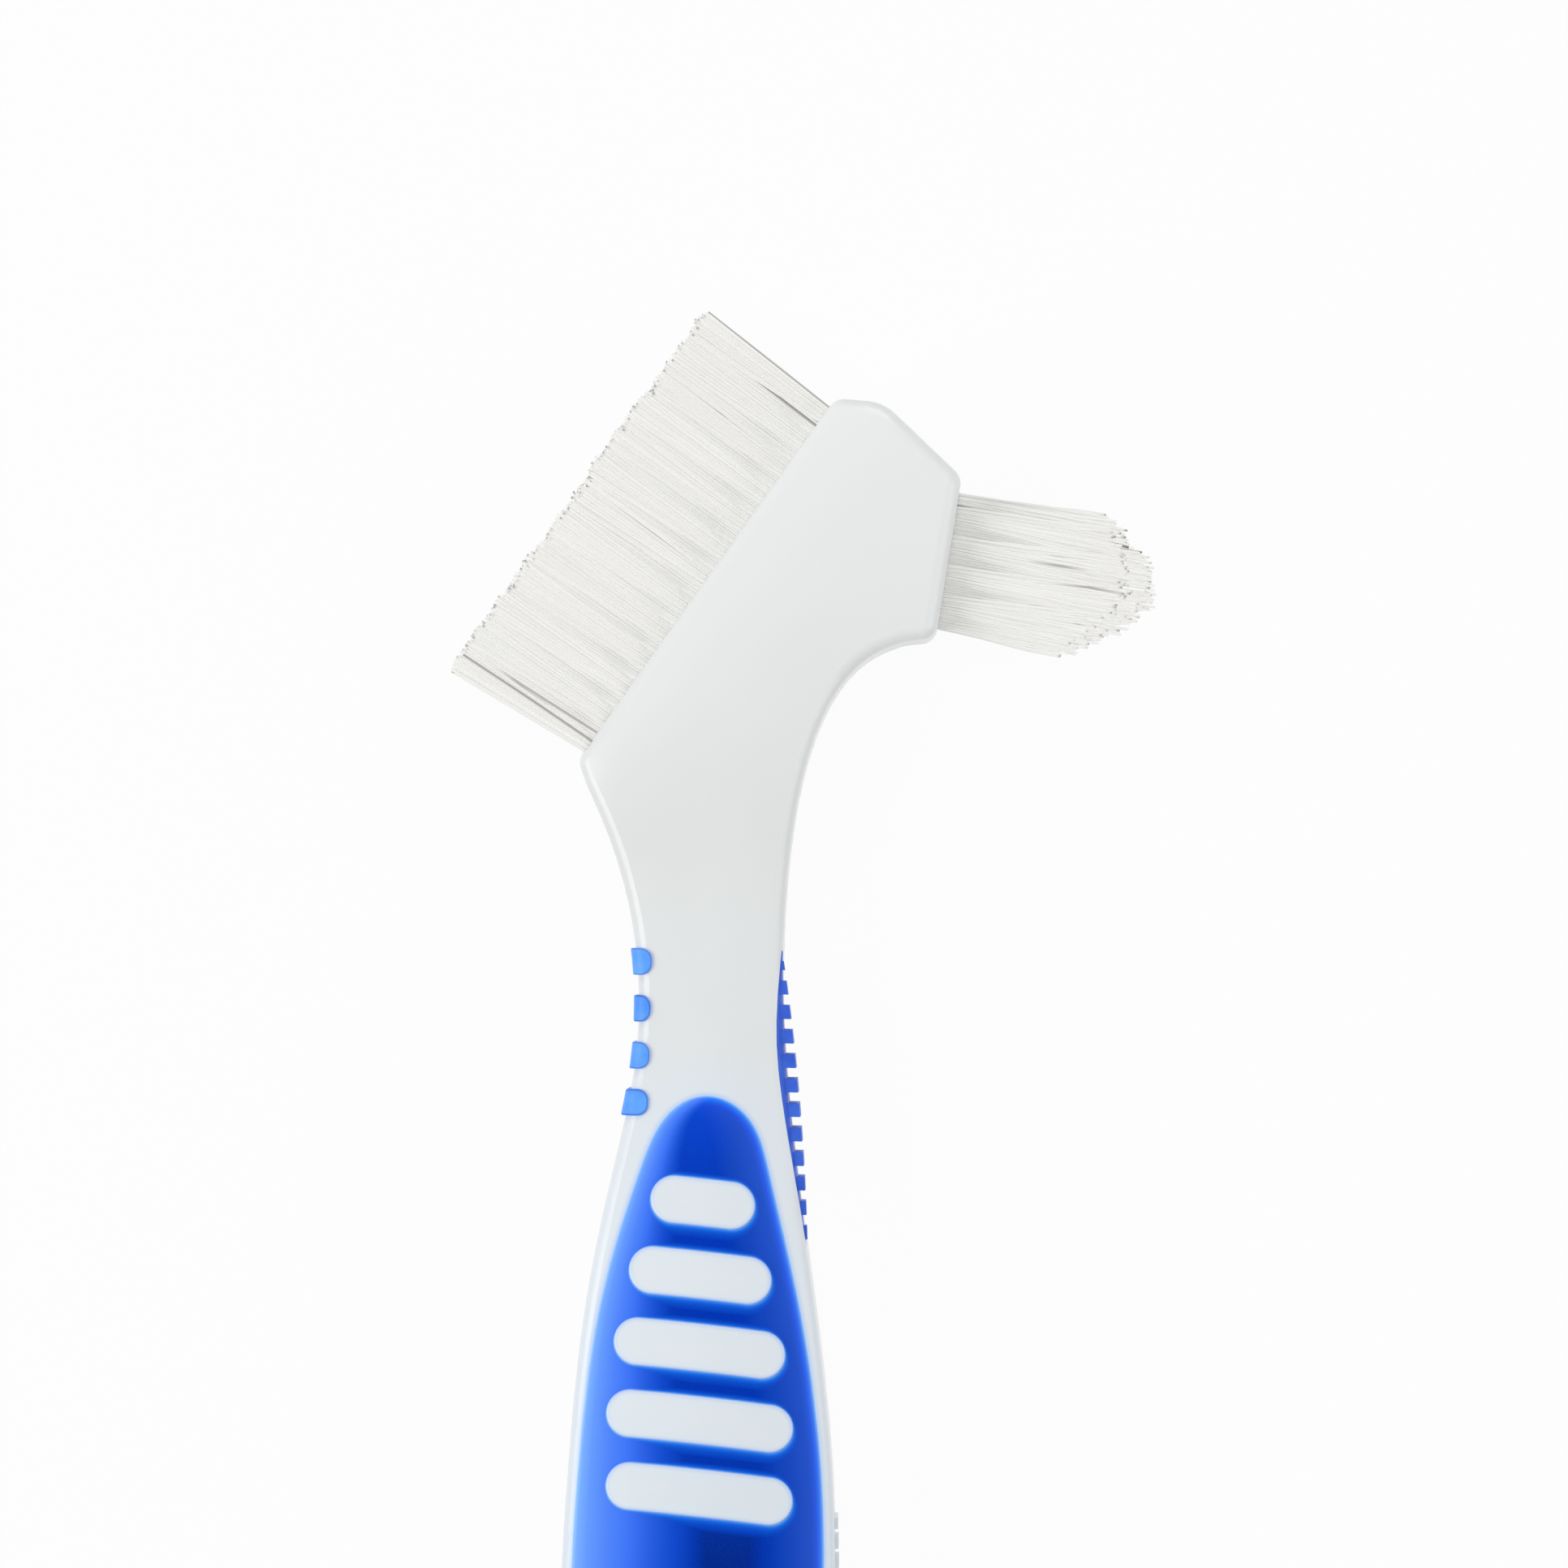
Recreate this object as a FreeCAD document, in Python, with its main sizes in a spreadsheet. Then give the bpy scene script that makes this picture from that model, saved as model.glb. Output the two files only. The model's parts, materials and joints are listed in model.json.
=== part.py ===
import FreeCAD, Part

# Denture brush with two brushes on one head.
#
# The brush lies on its back. X points to the right and Y up the handle as one looks at its front, and
# +Z points out of the front. The back of the head rests on Z = 0, and the handle's axis is the line X = 0.
# The origin is on the resting back of the head, where the handle's axis passes under it.
# All lengths are millimetres and all angles are degrees.

import math
import os

from FreeCAD import Placement, Rotation, Vector

SIZES = (
    # The head's outline
    ("flat_face_length", 39.15, "flat brush's face, corner to corner"),
    ("flat_face_x", -1.15, "middle of that face, across"),
    ("flat_face_y", 10.56, "middle of that face, along"),
    ("flat_face_lean", 34.35, "how far that face leans from the handle's axis"),
    ("end_face_length", 14.34, "end brush's face, corner to corner"),
    ("end_face_x", 20.18, "middle of the end brush's face, across"),
    ("end_face_y", 12.85, "middle of the end brush's face, along"),
    ("end_face_lean", 7.9, "how far the end brush's face leans from the handle's axis"),
    ("crown_corner_x", 14.15, "corner between the head's top edge and its long slope, across"),
    ("crown_corner_y", 26.4, "the same corner, along"),
    ("crown_corner_radius", 4.0, "rounding of that corner"),
    ("head_corner_radius", 1.5, "rounding of the head's four tight corners, seen from the front"),
    ("underside_x", 16.4, "corner of the underside below the end brush, across"),
    ("underside_y", 5.4, "the same corner, along"),
    ("underside_radius", 5.0, "rounding of that corner"),
    ("throat_x", 15.0, "start of the concave side, across"),
    ("throat_y", 4.84, "the same point, along"),
    ("throat_pull", 8.0, "how far the concave side holds its first direction"),
    ("throat_neck_pull", 11.0, "how far the concave side holds the neck's direction"),
    ("jaw_x", -11.45, "start of the short straight edge below the flat brush, across"),
    ("jaw_y", -7.6, "the same point, along"),
    ("jaw_pull", 1.7, "how far the left side holds that edge's direction"),
    ("jaw_neck_pull", 11.5, "how far the left side holds the neck's direction"),
    # The handle's outline
    ("neck_width", 12.6, "narrowest width of the handle"),
    ("neck_right_y", -23.0, "place of the neck on the right side"),
    ("neck_left_y", -28.0, "place of the neck on the left side"),
    ("shoulder_width", 16.2, "width where the grip starts to swell"),
    ("shoulder_y", -41.6, "place of that width"),
    ("shoulder_shift", -0.15, "middle of the handle there, across"),
    ("swell_width", 20.45, "width further down the swelling grip"),
    ("swell_y", -54.3, "place of that width"),
    ("swell_shift", -0.28, "middle of the handle there, across"),
    ("upper_grip_width", 23.15, "width at the top of the grip"),
    ("upper_grip_y", -67.2, "place of that width"),
    ("grip_width", 24.2, "widest width of the grip"),
    ("grip_y", -86.0, "place of the widest width"),
    ("tail_radius", 9.2, "round tail, seen from the front"),
    ("tail_end_y", -148.4, "end of the tail"),
    ("grip_pull", 24.0, "how far the sides hold the grip's direction below its widest place"),
    ("tail_pull", 18.0, "how far the sides hold the tail's direction"),
    # Thicknesses, and the long profile
    ("head_thickness", 14.5, "thickness of the head"),
    ("neck_height", 13.0, "height of the front over the neck"),
    ("shoulder_height", 14.2, "height of the front over the grip's shoulder"),
    ("grip_thickness", 16.0, "thickness of the grip at its widest"),
    ("tail_height", 13.4, "height of the front over the tail"),
    ("head_crest_y", 10.0, "where the front of the head is level"),
    ("neck_low_y", -26.0, "where the front of the neck is lowest"),
    ("back_hollow", 0.8, "how far the back of the neck clears the table"),
    ("head_rest_y", -6.0, "where the flat back of the head ends"),
    ("grip_rest_top_y", -64.0, "where the flat back of the grip starts"),
    ("grip_rest_bottom_y", -106.0, "where the flat back of the grip ends"),
    ("tail_lift", 1.6, "how far the back of the tail clears the table"),
    # Form of the front surface
    ("ridge_end_x", 14.3, "where the front's ridge meets the end brush, across"),
    ("ridge_end_y", 9.24, "the same point, along"),
    ("ridge_foot_x", 1.6, "where the bent ridge joins the handle, across"),
    ("ridge_foot_y", -33.0, "the same point, along"),
    ("ridge_end_pull", 14.7, "how far the ridge holds its direction at the end brush"),
    ("ridge_foot_pull", 27.0, "how far the ridge holds the handle's direction"),
    ("ridge_slope", 0.07, "slope away from the ridge"),
    ("ridge_softness", 1.0, "how softly the ridge is rounded"),
    ("front_bow", 0.0095, "how fast the front bows away from the ridge, per millimetre"),
    ("plateau_slope", 0.02, "slope of the head's plateau, left of the ridge"),
    ("plateau_bow", 0.0012, "bow of the head's plateau, per millimetre"),
    ("plateau_start_y", -24.0, "where the plateau starts to form above the neck"),
    ("plateau_full_y", -2.0, "where the plateau is fully formed"),
    ("cheek_width", 7.0, "width of the slope that rises from the flat brush's face"),
    ("cheek_fall", 1.1, "how far that slope falls"),
    ("front_edge_radius", 1.2, "rounding of the front edge"),
    ("back_edge_radius", 1.4, "rounding of the back edge"),
    # The blue front panel and the white bars in its windows
    ("panel_depth", 1.4, "thickness of the blue panel"),
    ("panel_top_y", -35.0, "top of the panel"),
    ("panel_arch_y", -37.2, "where the panel's top arch turns into its sides"),
    ("panel_arch_width", 7.8, "width of the panel there"),
    ("panel_arch_slope", 36.0, "how far the panel's sides lean outwards there"),
    ("panel_shoulder_margin", 2.4, "white left beside the panel at the grip's shoulder"),
    ("panel_swell_margin", 1.28, "white left beside the panel on the swelling grip"),
    ("panel_margin", 0.95, "white left beside the panel along the grip"),
    ("panel_bottom_y", -139.0, "bottom of the panel"),
    ("panel_foot_y", -126.0, "where the panel's sides turn into its bottom arch"),
    ("panel_foot_slope", 7.0, "how far the panel's sides lean inwards there"),
    ("window_count", 5, "windows in the panel"),
    ("window_height", 4.2, "height of a window"),
    ("window_pitch", 6.35, "distance from one window to the next"),
    ("window_top_y", -44.3, "middle of the top window"),
    ("window_side_gap", 1.85, "blue left beside a window"),
    ("window_longest", 16.5, "length of the longest windows"),
    ("window_slant", 5.0, "how far the windows slant down to the right"),
    ("window_bend_radius", 170.0, "radius of the windows' slight bend"),
    ("bar_rise", 0.25, "how far the white bars stand out of the panel"),
    ("bar_edge_radius", 0.22, "rounding of the bars' edges"),
    ("bar_root", 0.6, "how far the bars are rooted below the panel"),
    # Finger pads on the left edge of the neck
    ("finger_pad_count", 4, "pads on the left edge"),
    ("finger_pad_pitch", 4.13, "distance from one pad to the next"),
    ("finger_pad_top_y", -23.3, "middle of the top pad"),
    ("finger_pad_height", 2.35, "height of a pad along the handle"),
    ("finger_pad_inner_x", -5.25, "inner end of the pads, across"),
    ("finger_pad_corner", 1.0, "rounding of the pads' inner end"),
    ("finger_pad_rise", 0.45, "how far a pad stands out of the neck's side"),
    ("finger_pad_front_rise", 0.25, "how far a pad stands out of the front"),
    ("finger_pad_low_z", 4.2, "lower end of a pad on the neck's side"),
    # Thumb pad on the right flank
    ("thumb_pad_y", -35.0, "middle of the thumb pad, along"),
    ("thumb_pad_length", 26.0, "length of the thumb pad, tip to tip"),
    ("thumb_tip_z", 11.9, "height of its upper tip"),
    ("thumb_foot_z", 12.7, "height of its lower tip"),
    ("thumb_crest_z", 13.0, "top of its upper edge, which bows over the front edge"),
    ("thumb_low_z", 3.6, "lowest place of its lower edge, near the back"),
    ("thumb_pad_depth", 0.8, "thickness of the pad's base"),
    ("thumb_rib_count", 12, "ribs across the thumb pad"),
    ("thumb_rib_pitch", 2.15, "distance from one rib to the next"),
    ("thumb_rib_thickness", 1.22, "thickness of a rib"),
    ("thumb_rib_rise", 0.92, "how far the middle ribs stand out of the flank"),
    ("thumb_rib_tip_rise", 0.1, "how far the ribs would stand out at the pad's tips"),
    ("thumb_rib_margin", 0.4, "base left bare round the ribs' ends"),
    # Small white ribs, low on the right flank
    ("flank_rib_count", 10, "white ribs on the right flank"),
    ("flank_rib_top_y", -72.5, "middle of the top rib"),
    ("flank_rib_pitch", 1.74, "distance from one rib to the next"),
    ("flank_rib_thickness", 1.0, "thickness of a rib"),
    ("flank_rib_first_rise", 0.3, "how far the top rib stands out"),
    ("flank_rib_last_rise", 0.5, "how far the bottom rib stands out"),
    ("flank_rib_low_z", 4.0, "lower end of the ribs"),
    ("flank_rib_high_z", 10.5, "upper end of the ribs"),
    # The flat brush
    ("flat_column_count", 13, "tufts in every second row of the flat brush, with one fewer between"),
    ("row_count", 4, "rows in each brush"),
    ("row_pitch", 2.5, "distance from one row to the next"),
    ("first_row_z", 3.2, "height of the first row above the table"),
    ("row_fan", 1.6, "how far the outer rows lean outwards"),
    ("hole_diameter", 1.8, "hole for a tuft"),
    ("tuft_collar", 0.3, "how far a tuft keeps its hole's diameter outside the face"),
    ("hole_depth", 4.0, "depth of that hole"),
    ("flat_field_length", 37.6, "length of the flat brush at its root"),
    ("flat_bristle_length", 13.8, "free length of the flat brush"),
    ("flat_fan_top", 0.4, "how far its top tuft leans up from the face's normal"),
    ("flat_fan_bottom", -2.4, "how far its bottom tuft leans up from the face's normal"),
    ("flat_tip_diameter", 2.7, "spread of a flat brush tuft at its tips"),
    # The end brush
    ("end_column_count", 5, "tufts in its middle rows, with one fewer in its outer rows"),
    ("end_field_length", 12.3, "length of the end brush at its root"),
    ("end_bristle_length", 18.0, "free length in the middle of its dome"),
    ("end_dome_drop", 4.2, "how much shorter its outermost tufts are"),
    ("end_dome_shift", 0.5, "how far the dome's top lies above the face's middle"),
    ("end_lean", -1.3, "how far the whole end brush leans up from its face's normal"),
    ("end_fan", -0.6, "how far its outermost tufts lean outwards"),
    ("end_tip_diameter", 2.4, "spread of an end brush tuft at its tips"),
    # The plates that hold the folded tufts
    ("anchor_width", 2.4, "width of a plate"),
    ("anchor_thickness", 0.28, "thickness of a plate"),
    ("anchor_depth", 1.3, "depth of a plate along its hole"),
)

# Room outside the part that the shaping solids reach into
REACH = 40.0

# Spacing of the points that the front surface passes through: across, along the head, along the handle
GRID_STEP_ACROSS = 2.0
GRID_STEP_HEAD = 2.5
GRID_STEP_HANDLE = 6.0

# How far the front surface may fall below the lowest crest of the handle. It falls further only outside
# the outline.
DEEPEST_FALL = 1.35

# Points along the bent part of the ridge
RIDGE_POINTS = 24

# Halvings of a curve's range when a point on it is searched
HALVINGS = 60

# A face looks up or down where its normal's Z is beyond this
FACING = 0.8

doc = FreeCAD.newDocument("DentureBrush")

# The sheet of driving sizes

sheet = doc.addObject("Spreadsheet::Sheet", "Sizes")
for line, (alias, value, meaning) in enumerate(SIZES, start=1):
    sheet.set(f"A{line}", meaning)
    sheet.set(f"B{line}", str(value))
    sheet.setAlias(f"B{line}", alias)
doc.recompute()


def size(alias):
    """The value that the sheet holds under this name."""
    return float(sheet.get(alias))


def whole(alias):
    """A count that the sheet holds under this name."""
    return int(round(size(alias)))


# Helpers for curves and solids

def feature(name, shape):
    """A shape that no primitive gives, kept as an object of the document."""
    item = doc.addObject("Part::Feature", name)
    item.Shape = shape
    return item


def joined(name, items):
    """One object that fuses several."""
    result = doc.addObject("Part::MultiFuse", name)
    result.Shapes = items
    return result


def common(name, items):
    """One object that holds what several have in common."""
    result = doc.addObject("Part::MultiCommon", name)
    result.Shapes = items
    return result


def cut(name, base, tool):
    """One object less another."""
    result = doc.addObject("Part::Cut", name)
    result.Base = base
    result.Tool = tool
    return result


def compound(name, items):
    """A group of separate solids in one object."""
    result = doc.addObject("Part::Compound", name)
    result.Links = items
    return result


def moved(name, item, shift):
    """A shifted copy of an object's shape."""
    shape = item.Shape.copy()
    shape.translate(shift)
    return feature(name, shape)


def spline(points, first_direction, last_direction):
    """A smooth curve through the points, with its direction given at both ends."""
    curve = Part.BSplineCurve()
    curve.interpolate(Points=points, InitialTangent=first_direction, FinalTangent=last_direction)
    return curve


def bend(start, start_pull, end_pull, end):
    """A cubic curve that leaves its start and reaches its end along the two pulls."""
    curve = Part.BezierCurve()
    curve.setPoles([start, start + start_pull, end - end_pull, end])
    return curve


def heading(angle):
    """The direction in the XY plane at this angle from +X."""
    return Vector(math.cos(math.radians(angle)), math.sin(math.radians(angle)), 0)


def rounded_corner(before, corner, after, radius):
    """The arc that rounds a polygon's corner."""
    to_before = (before - corner).normalize()
    to_after = (after - corner).normalize()
    half_angle = to_before.getAngle(to_after) / 2
    setback = radius / math.tan(half_angle)
    inward = (to_before + to_after).normalize()
    middle = corner + inward * (radius / math.sin(half_angle) - radius)
    return Part.Arc(corner + to_before * setback, middle, corner + to_after * setback)


def rounded_path(points, radii):
    """The edges of a path through the points whose inner corners are rounded."""
    edges = []
    last = points[0]
    for index, radius in enumerate(radii, start=1):
        arc = rounded_corner(points[index - 1], points[index], points[index + 1], radius)
        edges.append(Part.LineSegment(last, arc.StartPoint).toShape())
        edges.append(arc.toShape())
        last = arc.EndPoint
    edges.append(Part.LineSegment(last, points[-1]).toShape())
    return edges


def point_at_y(curve, y):
    """The point where a curve that runs along the handle passes this Y."""
    low, high = curve.FirstParameter, curve.LastParameter
    rising = curve.value(high).y > curve.value(low).y
    for _ in range(HALVINGS):
        middle = (low + high) / 2
        if (curve.value(middle).y < y) == rising:
            low = middle
        else:
            high = middle
    return curve.value((low + high) / 2)


def prism(edges, low_z, high_z):
    """A closed outline in the XY plane made into an upright solid between two heights."""
    face = Part.Face(Part.Wire(Part.__sortEdges__(edges)))
    face.translate(Vector(0, 0, low_z))
    return face.extrude(Vector(0, 0, high_z - low_z))


def smooth_step(value):
    """0 below 0, 1 above 1, and a smooth rise between."""
    value = min(1.0, max(0.0, value))
    return value * value * (3 - 2 * value)


# The head's corners

flat_along = heading(90 - size("flat_face_lean"))
flat_out = heading(180 - size("flat_face_lean"))
flat_middle = Vector(size("flat_face_x"), size("flat_face_y"), 0)
flat_low_corner = flat_middle - flat_along * (size("flat_face_length") / 2)
flat_high_corner = flat_middle + flat_along * (size("flat_face_length") / 2)

end_along = heading(90 - size("end_face_lean"))
end_out = heading(-size("end_face_lean"))
end_middle = Vector(size("end_face_x"), size("end_face_y"), 0)
end_low_corner = end_middle - end_along * (size("end_face_length") / 2)
end_high_corner = end_middle + end_along * (size("end_face_length") / 2)

crown_corner = Vector(size("crown_corner_x"), size("crown_corner_y"), 0)
underside_corner = Vector(size("underside_x"), size("underside_y"), 0)
throat = Vector(size("throat_x"), size("throat_y"), 0)
jaw = Vector(size("jaw_x"), size("jaw_y"), 0)

# The sides of the neck and of the grip

UP = Vector(0, 1, 0)
tail_centre = Vector(0, size("tail_end_y") + size("tail_radius"), 0)
neck_left = Vector(-size("neck_width") / 2, size("neck_left_y"), 0)
neck_right = Vector(size("neck_width") / 2, size("neck_right_y"), 0)

throat_curve = bend(
    throat,
    (throat - underside_corner).normalize() * size("throat_pull"),
    -UP * size("throat_neck_pull"),
    neck_right,
)
jaw_curve = bend(
    neck_left,
    UP * size("jaw_neck_pull"),
    (flat_low_corner - jaw).normalize() * size("jaw_pull"),
    jaw,
)


def grip_station(side, name, shift=0.0):
    """A point on the grip's side, which is -1 on the left and +1 on the right."""
    return Vector(shift + side * size(name + "_width") / 2, size(name + "_y"), 0)


def upper_side(side, neck):
    """The side of the handle from the neck down to the widest place."""
    points = [
        neck,
        grip_station(side, "shoulder", size("shoulder_shift")),
        grip_station(side, "swell", size("swell_shift")),
        grip_station(side, "upper_grip"),
        grip_station(side, "grip"),
    ]
    return spline(points, -UP, -UP)


def lower_side(side):
    """The side of the grip from its widest place down to the round tail."""
    tail = tail_centre + Vector(side * size("tail_radius"), 0, 0)
    return bend(grip_station(side, "grip"), -UP * size("grip_pull"), -UP * size("tail_pull"), tail)


upper_left, upper_right = upper_side(-1, neck_left), upper_side(1, neck_right)
lower_left, lower_right = lower_side(-1), lower_side(1)
tail_side = Vector(size("tail_radius"), 0, 0)
tail_arc = Part.Arc(tail_centre - tail_side, tail_centre - UP * size("tail_radius"), tail_centre + tail_side)

head_edges = rounded_path(
    [jaw, flat_low_corner, flat_high_corner, crown_corner, end_high_corner, end_low_corner,
     underside_corner, throat],
    [size("head_corner_radius"), size("head_corner_radius"), size("crown_corner_radius"),
     size("head_corner_radius"), size("head_corner_radius"), size("underside_radius")],
)
side_curves = [throat_curve, upper_right, lower_right, tail_arc, lower_left, upper_left, jaw_curve]
outline = head_edges + [curve.toShape() for curve in side_curves]
outline_prism = feature("OutlinePrism", prism(outline, -REACH, REACH))

# The front surface: the long profile, less a fall to both sides of the ridge and to the flat brush's face

beyond_head_y = size("flat_face_y") + size("flat_face_length")
front_profile = Part.BSplineCurve()
front_profile.interpolate(Points=[
    Vector(0, beyond_head_y, size("head_thickness")),
    Vector(0, size("head_crest_y"), size("head_thickness")),
    Vector(0, size("neck_low_y"), size("neck_height")),
    Vector(0, size("shoulder_y"), size("shoulder_height")),
    Vector(0, size("grip_y"), size("grip_thickness")),
    Vector(0, size("tail_end_y"), size("tail_height")),
])

front_floor = min(size("neck_height"), size("tail_height")) - DEEPEST_FALL

ridge_start = Vector(size("ridge_end_x"), size("ridge_end_y"), 0)
ridge_foot = Vector(size("ridge_foot_x"), size("ridge_foot_y"), 0)
ridge_curve = bend(
    ridge_start,
    -end_out * size("ridge_end_pull"),
    -UP * size("ridge_foot_pull"),
    ridge_foot,
)
ridge_points = [ridge_start + end_out * REACH]
ridge_points += ridge_curve.discretize(RIDGE_POINTS)
ridge_points += [Vector(0, size("swell_y"), 0), Vector(0, size("tail_end_y") - REACH, 0)]


def distance_from_ridge(place):
    """Distance from the ridge, and whether the place lies on its right or lower side."""
    nearest = None
    for start, end in zip(ridge_points, ridge_points[1:]):
        along = end - start
        share = min(1.0, max(0.0, (place - start).dot(along) / along.dot(along)))
        away = place - (start + along * share)
        if nearest is None or away.Length < nearest[0]:
            nearest = (away.Length, along.cross(away).z > 0)
    return nearest


def front_height(x, y, crest):
    """Height of the front surface at a place, where the long profile has its crest."""
    place = Vector(x, y, 0)
    distance, outer_side = distance_from_ridge(place)
    slope, bow = size("ridge_slope"), size("front_bow")
    if not outer_side:
        formed = smooth_step(
            (y - size("plateau_start_y")) / (size("plateau_full_y") - size("plateau_start_y"))
        )
        slope += (size("plateau_slope") - slope) * formed
        bow += (size("plateau_bow") - bow) * formed
    rounded = math.hypot(distance, size("ridge_softness")) - size("ridge_softness")
    depth = (flat_middle - place).dot(flat_out)
    cheek = max(0.0, 1 - depth / size("cheek_width"))
    fall = slope * rounded + bow * distance**2 + size("cheek_fall") * cheek**2
    return max(front_floor, crest - fall)


left_limit = min(flat_low_corner.x, -size("grip_width") / 2) - 2 * GRID_STEP_ACROSS
right_limit = end_high_corner.x + 2 * GRID_STEP_ACROSS
columns = math.ceil((right_limit - left_limit) / GRID_STEP_ACROSS)
y = beyond_head_y
grid = []
while y > size("tail_end_y") - GRID_STEP_HANDLE:
    crest = point_at_y(front_profile, y).z
    places = [left_limit + column * GRID_STEP_ACROSS for column in range(columns + 1)]
    grid.append([Vector(x, y, front_height(x, y, crest)) for x in places])
    y -= GRID_STEP_HEAD if y > size("neck_low_y") else GRID_STEP_HANDLE
front_surface = Part.BSplineSurface()
front_surface.interpolate(grid)
front_face = front_surface.toShape()
above_front = feature("AboveFront", front_face.extrude(Vector(0, 0, REACH)))
below_front = feature("BelowFront", front_face.extrude(Vector(0, 0, -REACH)))

# The back: flat under the head and under the grip, hollow at the neck, lifted at the tail


def back_point(y, height=0.0):
    """A point of the back's long profile."""
    return Vector(-REACH, y, height)


hollow_y = (size("neck_right_y") + size("neck_left_y")) / 2
hollow_back = back_point(hollow_y, size("back_hollow"))
upper_pull = -UP * ((size("head_rest_y") - hollow_y) / 2)
lower_pull = -UP * ((hollow_y - size("grip_rest_top_y")) / 2)
upper_hollow = bend(back_point(size("head_rest_y")), upper_pull, upper_pull, hollow_back)
lower_hollow = bend(hollow_back, lower_pull, lower_pull, back_point(size("grip_rest_top_y")))
tail_pull = (size("grip_rest_bottom_y") - size("tail_end_y")) / 3
tail_rise = Vector(0, -tail_pull, size("tail_lift") / 2)
tail_back = bend(back_point(size("grip_rest_bottom_y")), -UP * tail_pull, tail_rise,
                 back_point(size("tail_end_y"), size("tail_lift")))
back_path = [
    Part.LineSegment(back_point(beyond_head_y), back_point(size("head_rest_y"))),
    upper_hollow,
    lower_hollow,
    Part.LineSegment(back_point(size("grip_rest_top_y")), back_point(size("grip_rest_bottom_y"))),
    tail_back,
    Part.LineSegment(
        back_point(size("tail_end_y"), size("tail_lift")),
        back_point(size("tail_end_y") - REACH, size("tail_lift") + REACH / 2),
    ),
    Part.LineSegment(
        back_point(size("tail_end_y") - REACH, size("tail_lift") + REACH / 2),
        back_point(beyond_head_y, size("tail_lift") + REACH / 2),
    ),
    Part.LineSegment(back_point(beyond_head_y, size("tail_lift") + REACH / 2), back_point(beyond_head_y)),
]
back_face = Part.Face(Part.Wire([curve.toShape() for curve in back_path]))
above_back = feature("AboveBack", back_face.extrude(Vector(2 * REACH, 0, 0)))

# The plain moulding, before anything is let into it

sharp_blank = common("SharpBlank", [outline_prism, below_front, above_back])
doc.recompute()


def boundary_edges(shape, faces):
    """Numbers of the edges that belong to just one of the faces."""
    numbers = []
    for number, edge in enumerate(shape.Edges, start=1):
        owners = sum(1 for face in faces if any(edge.isSame(other) for other in face.Edges))
        if owners == 1:
            numbers.append(number)
    return numbers


def faces_up(shape, sense):
    """The faces that look up where sense is 1, and down where it is -1."""
    found = []
    for face in shape.Faces:
        low_u, high_u, low_v, high_v = face.ParameterRange
        normal = face.normalAt((low_u + high_u) / 2, (low_v + high_v) / 2)
        if sense * normal.z > FACING:
            found.append(face)
    return found


def edge_rounding(sense, radius):
    """The rounding of every edge round the front, where sense is 1, or round the back, where it is -1."""
    shape = sharp_blank.Shape
    return [(number, radius, radius) for number in boundary_edges(shape, faces_up(shape, sense))]


blank = doc.addObject("Part::Fillet", "Blank")
blank.Base = sharp_blank
blank.Edges = edge_rounding(1, size("front_edge_radius")) + edge_rounding(-1, size("back_edge_radius"))
doc.recompute()

# The blue panel's outline, and its windows


def panel_side(side, upper, lower):
    """One side of the panel, which keeps a margin inside the handle's side."""
    def inside(curve, name, margin):
        return point_at_y(curve, size(name)) - Vector(side * size(margin), 0, 0)

    shoulder = Vector(side * size("panel_arch_width") / 2, size("panel_arch_y"), 0)
    widest = Vector(side * (size("grip_width") / 2 - size("panel_margin")), size("grip_y"), 0)
    foot = inside(lower, "panel_foot_y", "panel_margin")
    shoulder_way = heading(-90 + side * size("panel_arch_slope"))
    foot_way = heading(-90 - side * size("panel_foot_slope"))
    across = Vector(side, 0, 0)
    arch = bend(
        Vector(0, size("panel_top_y"), 0),
        across * (size("panel_arch_width") / 4),
        shoulder_way * ((size("panel_top_y") - size("panel_arch_y")) / 2),
        shoulder,
    )
    sides = spline(
        [
            shoulder,
            inside(upper, "shoulder_y", "panel_shoulder_margin"),
            inside(upper, "swell_y", "panel_swell_margin"),
            inside(upper, "upper_grip_y", "panel_margin"),
            widest,
        ],
        shoulder_way,
        -UP,
    )
    fall = (size("grip_y") - size("panel_foot_y")) / 3
    lower_run = bend(widest, -UP * fall, foot_way * fall, foot)
    bottom = bend(
        foot,
        foot_way * ((size("panel_foot_y") - size("panel_bottom_y")) / 2),
        -across * (foot.x * side / 2),
        Vector(0, size("panel_bottom_y"), 0),
    )
    return arch, sides, lower_run, bottom


left_panel = panel_side(-1, upper_left, lower_left)
right_panel = panel_side(1, upper_right, lower_right)
panel_edges = [curve.toShape() for curve in left_panel + right_panel]
panel_prism = feature("PanelPrism", prism(panel_edges, 0, REACH))
panel_depth = Vector(0, 0, -size("panel_depth"))
panel_zone = moved("PanelZone", above_front, panel_depth)
whole_panel = common("WholePanel", [panel_prism, blank, panel_zone])


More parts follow.
